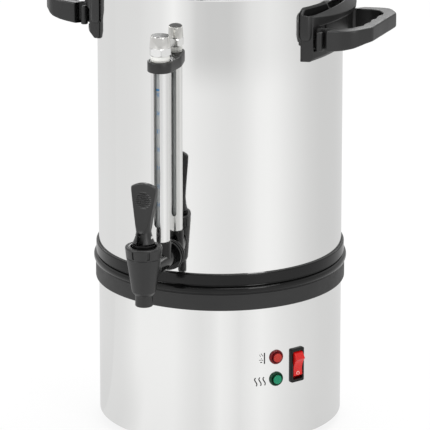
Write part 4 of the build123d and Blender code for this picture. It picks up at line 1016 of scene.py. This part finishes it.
# %% Bracket and fittings
BRACKET = (340.0, 349.0)
plan_points = rounded(
    [(-10.8, -10.6), (10.8, -10.6), (10.8, 18.55), (0.0, 18.0), (-10.8, 18.55)],
    [10.59, 10.59, 0.15, 12.0, 0.15],
    steps=24,
)
plan_points = closed_run(plan_points, 220)
heading = plan_points / np.hypot(*plan_points.T)[:, None]
bottom_z, top_z = BRACKET
SOFT, SOFTER = 0.6, 0.18  # the edges' rounding, and how far it is drawn in halfway round
CUP_R, BORE_R, CUP_DEPTH = 9.0, 7.95, 1.0  # the washer's cup, and the guard tube's bore
bracket_points = stacked(
    [
        (eased(plan_points, SOFT), bottom_z),
        (eased(plan_points, SOFTER), bottom_z + SOFTER),
        (plan_points, bottom_z + SOFT),
        (plan_points, top_z - SOFT),
        (eased(plan_points, SOFTER), top_z - SOFTER),
        (eased(plan_points, SOFT), top_z),
        (heading * (CUP_R + 0.2), top_z),
        (heading * (CUP_R + 0.1), top_z - 0.1),
        (heading * CUP_R, top_z - CUP_DEPTH),
        (heading * BORE_R, top_z - CUP_DEPTH),
        (heading * BORE_R, bottom_z),
    ]
) + (0.0, -GAUGE_REACH, 0.0)
make_piece(
    "gauge_top_bracket",
    [shell(bracket_points)],
    grained_black,
    stands_for="gauge_bracket",
    sharp=50.0,
)
washer_outline = rounded(
    [(6.95, 349.0), (7.5, 349.0), (8.1, 350.6), (8.1, 354.0), (6.95, 354.0)],
    [0.2, 0.6, 0.8, 0.5, 0.2],
)
make_piece(
    "gauge_nylon_washer",
    [turned(washer_outline, 96, gauge_centre)],
    white_nylon,
    stands_for="gauge_washer",
)
cap_outline = rounded(
    [
        (6.95, 361.0), (8.7, 361.0), (8.9, 361.6), (8.75, 363.4),
        (7.95, 370.6), (7.4, 370.6), (7.4, 369.6), (6.95, 369.6),
    ],
    [0.1, 0.25, 0.3, 1.0, 0.35, 0.15, 0.1, 0.1],
)
make_piece(
    "gauge_cap_sleeve",
    [turned(cap_outline, 128, gauge_centre)],
    nickel_plate,
    stands_for="gauge_cap",
)
print("gauge fittings up to", cap_outline[:, 1].max())

# %% [markdown]
# ### The scale on the glass
#
# Cup numbers are printed on the front of the tube, every four cups, with a bar at the full mark.
# Each number starts as text, becomes a thin solid, and is then bent round the glass: the distance
# along the print divided by the tube's radius is the angle.

# %% Scale numbers
SCALE_R, DIGIT = 4.62, 3.5  # printed radius and digit height, mm
SCALE_MARKS = {
    "16": 225.1, "20": 240.8, "24": 256.9, "28": 273.0, "32": 288.7, "36": 304.5, "40": 320.5,
}


def flat_text(words):
    """Text as points and triangles: x along the line, y up, z its thickness. The unit is the
    text's size."""
    curve = bpy.data.curves.new("digits", "FONT")
    curve.body, curve.align_x, curve.align_y = words, "CENTER", "CENTER"
    curve.extrude, curve.resolution_u = 0.004, 3
    holder = bpy.data.objects.new("digits", curve)
    bpy.context.scene.collection.objects.link(holder)
    evaluated = holder.evaluated_get(bpy.context.evaluated_depsgraph_get())
    mesh = bpy.data.meshes.new_from_object(evaluated)
    bpy.data.objects.remove(holder)
    mesh.calc_loop_triangles()
    points = np.empty(len(mesh.vertices) * 3)
    triangles = np.empty(len(mesh.loop_triangles) * 3, int)
    mesh.vertices.foreach_get("co", points)
    mesh.loop_triangles.foreach_get("vertices", triangles)
    bpy.data.meshes.remove(mesh)
    return points.reshape(-1, 3), triangles.reshape(-1, 3)


def on_the_glass(points, height):
    """Bends flat points round the front of the gauge's glass."""
    along, up, out = points.T
    return polar(SCALE_R + out, along / SCALE_R, up + height, gauge_centre)


number_shells = []
CAPITAL, NARROW = 0.7, 0.72  # a digit's height in text sizes, and how far it is narrowed
for words, height in SCALE_MARKS.items():
    points, triangles = flat_text(words)
    size = DIGIT / CAPITAL * np.array([NARROW, 1.0, 1.0])
    number_shells.append((on_the_glass(points * size, height), triangles))
BAR_HEIGHT = 324.8
bar_way = np.linspace(-2.1, 2.1, 15)
bar_section = np.array([[-0.85, -0.01], [0.85, -0.01], [0.85, 0.02], [-0.85, 0.02]])
bar = np.array([[(x, up, out) for up, out in bar_section] for x in bar_way]).reshape(-1, 3)
bar_quads = grid_faces(len(bar_way), 4, False, True)
ends = np.array([[0, 1, 2, 3], [len(bar) - 4, len(bar) - 3, len(bar) - 2, len(bar) - 1]])
quads = np.vstack([bar_quads, ends])
number_shells.append(
    (on_the_glass(bar, BAR_HEIGHT), np.vstack([quads[:, [0, 1, 2]], quads[:, [0, 2, 3]]]))
)
make_piece("gauge_scale_print", number_shells, print_blue)
print("numbers:", " ".join(SCALE_MARKS))

# %% [markdown]
# ## Lamps and switch
#
# Each lamp is a round bezel pushed through the wall, with a raised collar that holds a flat disc
# lens. The bezel is turned; its collar stands proud, so from the side a dark crescent shows
# between the lens and the rim.

# %% Lamps
LAMP_TURN, BEZEL_R = 51.0, 6.35  # degrees from the tap, and the rim's radius
bezel_outline = rounded(
    [
        (4.3, -18.0), (5.3, -18.0), (5.3, 0.0), (BEZEL_R, 0.0), (BEZEL_R, 0.9), (5.7, 1.9),
        (5.0, 1.9), (4.8, 1.0), (4.25, 1.0), (4.2, 3.1), (3.9, 3.1), (3.9, 1.0), (4.3, 0.5),
    ],
    [0.1, 0.1, 0.02, 0.15, 0.9, 0.8, 0.4, 0.2, 0.1, 0.15, 0.05, 0.1, 0.1],
)
lens_outline = rounded(
    [(0.0, 1.5), (3.85, 1.5), (3.85, 3.45), (2.4, 3.6), (0.0, 3.6)], [0, 0.1, 0.45, 2.0, 0]
)
for name, height, bezel, lens in (
    ("red", 82.4, red_bezel, red_lens),
    ("green", 62.8, green_bezel, green_lens),
):
    make_piece(
        "lamp_" + name + "_bezel",
        [on_the_wall(turned(bezel_outline, 96), LAMP_TURN, BODY_R, height)],
        bezel,
        stands_for="lamp_" + name,
    )
    make_piece(
        "lamp_" + name + "_disc",
        [on_the_wall(turned(lens_outline, 96), LAMP_TURN, BODY_R, height)],
        lens,
        stands_for="lamp_" + name + "_lens",
    )
print("lamp rims", BEZEL_R, "mm in radius")


# %% Switch frame
def rectangle(width, height, corner, count=176):
    """Evenly spaced points round a rounded rectangle, starting at the lower left corner."""
    half_w, half_h = width / 2, height / 2
    corners = [(-half_w, -half_h), (half_w, -half_h), (half_w, half_h), (-half_w, half_h)]
    return closed_run(rounded(corners, [corner] * 4), count)


# width, height, corner radius and distance from the wall, from the rocker's bay outwards and back
FRAME_ROWS = (
    (0.2, 0.4, 0.02, -9.0), (9.7, 24.7, 0.5, -9.0), (9.8, 24.8, 0.6, 1.7), (10.2, 25.2, 0.8, 2.05),
    (12.8, 29.0, 0.9, 2.2), (13.6, 29.9, 1.2, 1.95), (13.9, 30.2, 1.3, 1.4), (13.9, 30.2, 1.3, 0.0),
    (12.4, 27.6, 0.8, 0.0), (12.4, 27.6, 0.8, -20.0), (0.2, 0.4, 0.02, -20.0),
)
frame_points = stacked([(rectangle(*size), out) for *size, out in FRAME_ROWS])
make_piece(
    "switch_moulded_frame",
    [on_the_wall(capped(frame_points), np.degrees(SWITCH_TURN), BODY_R, SWITCH_HEIGHT)],
    gloss_black,
    stands_for="switch_frame",
)

# %% [markdown]
# The rocker itself keeps its CAD shape. The ring printed on its lower half is laid on the face
# where a line of sight, square to the wall, meets it.

# %% Off mark
rocker_mesh = cad_nodes["switch_rocker"]
mark_height = SWITCH_HEIGHT - 7.3
CLEAR_R = 130.0  # from the axis, well outside the rocker
outwards = np.array([np.sin(SWITCH_TURN), -np.cos(SWITCH_TURN), 0.0])
start = (outwards * CLEAR_R + (0, 0, mark_height)) * MM
met, spot, facing, _ = rocker_mesh.ray_cast(Vector(start), Vector(-outwards))
mark_out = np.array(facing)
mark_side = np.cross((0.0, 0.0, 1.0), mark_out)
mark_side /= np.hypot(*mark_side[:2]) if met else 1.0
mark_up = np.cross(mark_out, mark_side)
ring_outline = np.array([(1.05, 0.0), (1.75, 0.0), (1.75, 0.06), (1.05, 0.06)])
ring_points, ring_faces = turned(ring_outline, 48)
ring_points = (
    ring_points[:, :1] * mark_side + ring_points[:, 1:2] * mark_up + ring_points[:, 2:] * mark_out
) + np.array(spot) / MM
make_piece(
    "rocker_off_mark", [(ring_points, ring_faces)], print_white, body="rocker"
)
print("off mark at", np.round(np.array(spot) / MM, 1).tolist())

# %% [markdown]
# ### Printed symbols
#
# Beside each lamp a symbol is printed on the steel: three wavy lines for keeping warm, and a bar
# with drops and steam for brewing. Each stroke is a ribbon: a path in angle and height, widened
# square to its own direction and bent to the wall.


# %% Symbols beside the lamps
def ribbon(path, width, thick=0.05):
    """A printed stroke on the wall. The path is degrees round the urn and height; it is smoothed
    into an even run, widened to both sides, and lies just outside the steel."""
    knots = np.array(path, float) * (np.radians(1) * BODY_R, 1)
    run = np.concatenate([[0], np.cumsum(np.hypot(*np.diff(knots, axis=0).T))])
    place = np.linspace(0, run[-1], 25)
    line = np.column_stack([np.interp(place, run, knots[:, axis]) for axis in (0, 1)])
    padded = np.vstack([line[:1]] * 2 + [line] + [line[-1:]] * 2)
    line = sum(padded[i : i + len(line)] for i in range(5)) / 5
    ahead = np.gradient(line, axis=0)
    square = np.column_stack([-ahead[:, 1], ahead[:, 0]]) / np.hypot(*ahead.T)[:, None]
    square = square * (width / 2)
    flat = np.stack([line - square, line + square, line + square, line - square], axis=1)
    lift = np.array([0.01, 0.01, thick, thick])
    return capped(polar(BODY_R + lift, flat[..., 0] / BODY_R, flat[..., 1]))


wave = np.array([(-0.35, 4.05), (-1.05, 2.3), (0.32, -1.95), (-0.08, -4.0)])
strokes = [ribbon(wave + (middle, 61.95), 1.0) for middle in (41.12, 43.2, 45.25)]
strokes += [
    ribbon([(45.05, 87.8), (45.05, 77.3)], 1.1),
    ribbon([(43.3, 87.2), (44.35, 84.6)], 0.55),
    ribbon([(42.5, 86.4), (43.2, 84.3)], 0.45),
    ribbon([(43.35, 82.75), (43.67, 82.7)], 0.7),
    ribbon([(42.3, 81.4), (44.1, 81.3), (44.25, 80.4)], 0.5),
    ribbon([(42.95, 79.3), (43.9, 79.2)], 0.9),
]
make_piece("wall_symbols", strokes, print_black)
print("printed strokes:", len(strokes))

# %% [markdown]
# ## Finishes for the CAD pieces that stay
#
# Screws, tubes, seals and the parts inside the base have the right shape already. Each gets the
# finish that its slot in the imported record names, so nothing is left plain, not even under the
# base, where the view from below reaches.

# %% Finishes by slot
FINISHES = {
    "stainless": steel_wall,
    "inner_steel": steel_inner,
    "zinc_plate": zinc_plate,
    "bright_steel": steel_tube,
    "black_plastic": grained_black,
    "gloss_black": gloss_black,
    "white_plastic": white_nylon,
    "heater_parts": brown_phenolic,
    "black_rubber": black_rubber,
    "white_rubber": white_silicone,
    "clear_glass": clear_glass,
    "red_bezel": red_bezel,
    "red_lens": red_lens,
    "green_bezel": green_bezel,
    "green_lens": green_lens,
    "red_rocker": red_rocker,
}
# two small parts share a slot with the metal around them, and get their own black: the gauge
# cap's disc is a black moulding, and the plunger stem's black is painted shade in the recess
# between the lever's legs
BY_NAME = {"plunger_stem": grained_black, "gauge_cap_disc": grained_black}
for subpart in frame["record"]["subparts"]:
    mesh = cad_nodes[subpart["node"]].data
    finish = BY_NAME.get(subpart["node"], FINISHES[subpart["material_slot"]])
    mesh.materials.clear()
    mesh.materials.append(finish)

# %% [markdown]
# ## Floor, world and lamps
#
# The urn stands on a white sweep. To the camera the floor is plain white, and to everything matt it
# is an ordinary surface, so the urn's contact shadow stays. A polished wall, though, shows only
# what it mirrors: seen from 17 degrees above, the tank mirrors the floor half a metre to a metre
# and a half away, and the base mirrors the floor right in front of it. So the floor that shiny
# things see has soft grey sectors, as if cards lay on it: at the urn's foot, near, further out and
# far off. Each set is a ramp over the angle round the urn, and the distance from the urn picks the
# set.

# %% Floor
def plain_stage(name, points, faces, material):
    """A piece of the stage, such as the floor. It is not part of the urn."""
    mesh = bpy.data.meshes.new(name)
    mesh.from_pydata(points, [], faces)
    thing = bpy.data.objects.new(name, mesh)
    bpy.context.scene.collection.objects.link(thing)
    mesh.materials.append(material)
    return thing


def sectors(tree, turn, stops):
    """A ramp over the angle round the urn. Each stop is degrees from the tap and a grey."""
    ramp = add_node(tree, "ShaderNodeValToRGB", links={"Fac": turn})
    ordered = sorted(((degrees / 360 + 0.25) % 1, grey) for degrees, grey in stops.items())
    points = ramp.color_ramp.elements
    while len(points) < len(ordered):
        points.new(0.5)
    for point, (place, grey) in zip(points, ordered):
        point.position = place
        point.color = linear("#" + 3 * f"{grey:02x}")
    return ramp.outputs["Color"]


def beyond(tree, distance, starts, near_colour, far_colour):
    """One colour nearer than a distance, another beyond it, and a smooth change between."""
    span = {"interpolation_type": "SMOOTHSTEP", "From Min": starts[0], "From Max": starts[1]}
    step = add_node(tree, "ShaderNodeMapRange", span, {"Value": distance})
    colours = {0: step, 6: near_colour, 7: far_colour}
    return add_node(tree, "ShaderNodeMix", {"data_type": "RGBA"}, colours).outputs[2]


# greys of the cards, 0 to 255, by degrees from the tap
FOOT_CARDS = {
    -107: 218, -92: 221, -71: 227, -62: 232, -55: 240, -48: 250, -20: 249, -5: 238, 6: 233,
    15: 238, 24: 250, 32: 245, 42: 235, 52: 243, 62: 250, 70: 244, 80: 235, 95: 224, 113: 216,
    155: 218,
}
NEAR_CARDS = {
    -112: 223, -90: 227, -76: 232, -68: 239, -57: 250, -20: 249, -5: 238, 6: 233, 15: 238,
    24: 250, 32: 245, 42: 235, 52: 243, 63: 250, 72: 244, 84: 235, 103: 224, 129: 216,
    160: 216, 205: 218,
}
MIDDLE_CARDS = {
    -112: 225, -76: 227, -57: 230, -45: 236, -20: 250, -5: 249, 6: 243, 24: 235, 33: 233,
    42: 235, 51: 243, 60: 252, 70: 254, 80: 249, 91: 239, 103: 228, 115: 218, 130: 211,
    156: 209, 205: 214,
}
FAR_CARDS = {
    -112: 225, -57: 227, -33: 238, -20: 255, -5: 232, 2: 214, 14: 207, 33: 207, 42: 216,
    52: 232, 70: 242, 80: 239, 91: 232, 103: 224, 130: 211, 205: 214,
}
# metres from the urn where each further set begins to show and where it is complete
FURTHER_CARDS = (
    ((0.13, 0.34), NEAR_CARDS), ((0.50, 0.56), MIDDLE_CARDS), ((1.22, 1.42), FAR_CARDS),
)
# metres, a little in front of the axis: a round wall mirrors the floor as if from inside it
CARDS_CENTRE = (0.0214, -0.048, 0.0)


def studio_white(name, lit, seen):
    """Matt where light falls on it, plain white to the camera and through glass, and sectors of
    pale grey to whatever mirrors it."""
    material = bpy.data.materials.new(name)
    material.use_nodes = True
    tree = material.node_tree
    tree.nodes.clear()
    place = add_node(tree, "ShaderNodeTexCoord").outputs["Object"]
    centred = {"operation": "SUBTRACT", 1: CARDS_CENTRE}
    from_centre = add_node(tree, "ShaderNodeVectorMath", centred, {0: place})
    radial = {"gradient_type": "RADIAL"}
    turn = add_node(tree, "ShaderNodeTexGradient", radial, {"Vector": from_centre}).outputs["Fac"]
    length = add_node(tree, "ShaderNodeVectorMath", {"operation": "LENGTH"}, {0: place})
    cards = sectors(tree, turn, FOOT_CARDS)
    for starts, stops in FURTHER_CARDS:
        cards = beyond(tree, length.outputs["Value"], starts, cards, sectors(tree, turn, stops))
    path = add_node(tree, "ShaderNodeLightPath").outputs
    straight = {0: path["Is Camera Ray"], 1: path["Is Transmission Ray"]}
    plain = add_node(tree, "ShaderNodeMath", {"operation": "MAXIMUM"}, straight)
    glow = add_node(tree, "ShaderNodeEmission", {"Color": linear(seen), "Strength": 1.0})
    mirrored = add_node(tree, "ShaderNodeEmission", {"Strength": 1.0}, {"Color": cards})
    surface = add_node(tree, "ShaderNodeBsdfDiffuse", {"Color": linear(lit)})
    for most, ray, shown in ((0.85, plain, glow), (0.88, path["Is Glossy Ray"], mirrored)):
        share = add_node(tree, "ShaderNodeMath", {"operation": "MULTIPLY", 1: most}, {0: ray})
        links = {0: share, 1: surface, 2: shown}
        surface = add_node(tree, "ShaderNodeMixShader", links=links)
    output = tree.nodes.new("ShaderNodeOutputMaterial")
    tree.links.new(surface.outputs[0], output.inputs["Surface"])
    return material


floor_white = studio_white("white_sweep", "#e9e9e9", "#ffffff")
plain_stage(
    "floor", [(-6, -6, 0), (6, -6, 0), (6, 6, 0), (-6, 6, 0)], [(0, 1, 2, 3)], floor_white
)
print("sets of cards:", 1 + len(FURTHER_CARDS))

# %% World and lamps
world = bpy.data.worlds.new("studio")
bpy.context.scene.world = world
world.use_nodes = True
world_tree = world.node_tree
world_tree.nodes.clear()
air, seen = (
    add_node(world_tree, "ShaderNodeBackground", {"Color": linear(colour), "Strength": strength})
    for colour, strength in (("#f4f4f4", 0.75), ("#ffffff", 1.0))
)
path = add_node(world_tree, "ShaderNodeLightPath")
links = {0: path.outputs["Is Camera Ray"], 1: air, 2: seen}
blend = add_node(world_tree, "ShaderNodeMixShader", links=links)
world_out = world_tree.nodes.new("ShaderNodeOutputWorld")
world_tree.links.new(blend.outputs[0], world_out.inputs["Surface"])
bpy.context.scene.view_settings.view_transform = "Standard"


def soft_lamp(name, place, aim, size, power):
    """An area lamp that looks at a point."""
    lamp = bpy.data.lights.new(name, "AREA")
    lamp.shape = "RECTANGLE"
    lamp.size, lamp.size_y = size
    lamp.energy = power
    holder = bpy.data.objects.new(name, lamp)
    bpy.context.scene.collection.objects.link(holder)
    holder.location = place
    holder.rotation_euler = (Vector(aim) - Vector(place)).to_track_quat("-Z", "Y").to_euler()
    return holder


middle = (0.0, 0.0, 0.2)
soft_lamp("key", (-1.6, -1.8, 1.6), middle, (1.0, 1.0), 22.0)
soft_lamp("fill", (2.2, -1.4, 1.2), middle, (0.8, 1.2), 13.0)
soft_lamp("top", (0.2, 0.3, 2.2), middle, (1.2, 1.2), 24.0)
soft_lamp("back", (-0.9, 2.0, 1.7), middle, (1.6, 0.9), 17.0)
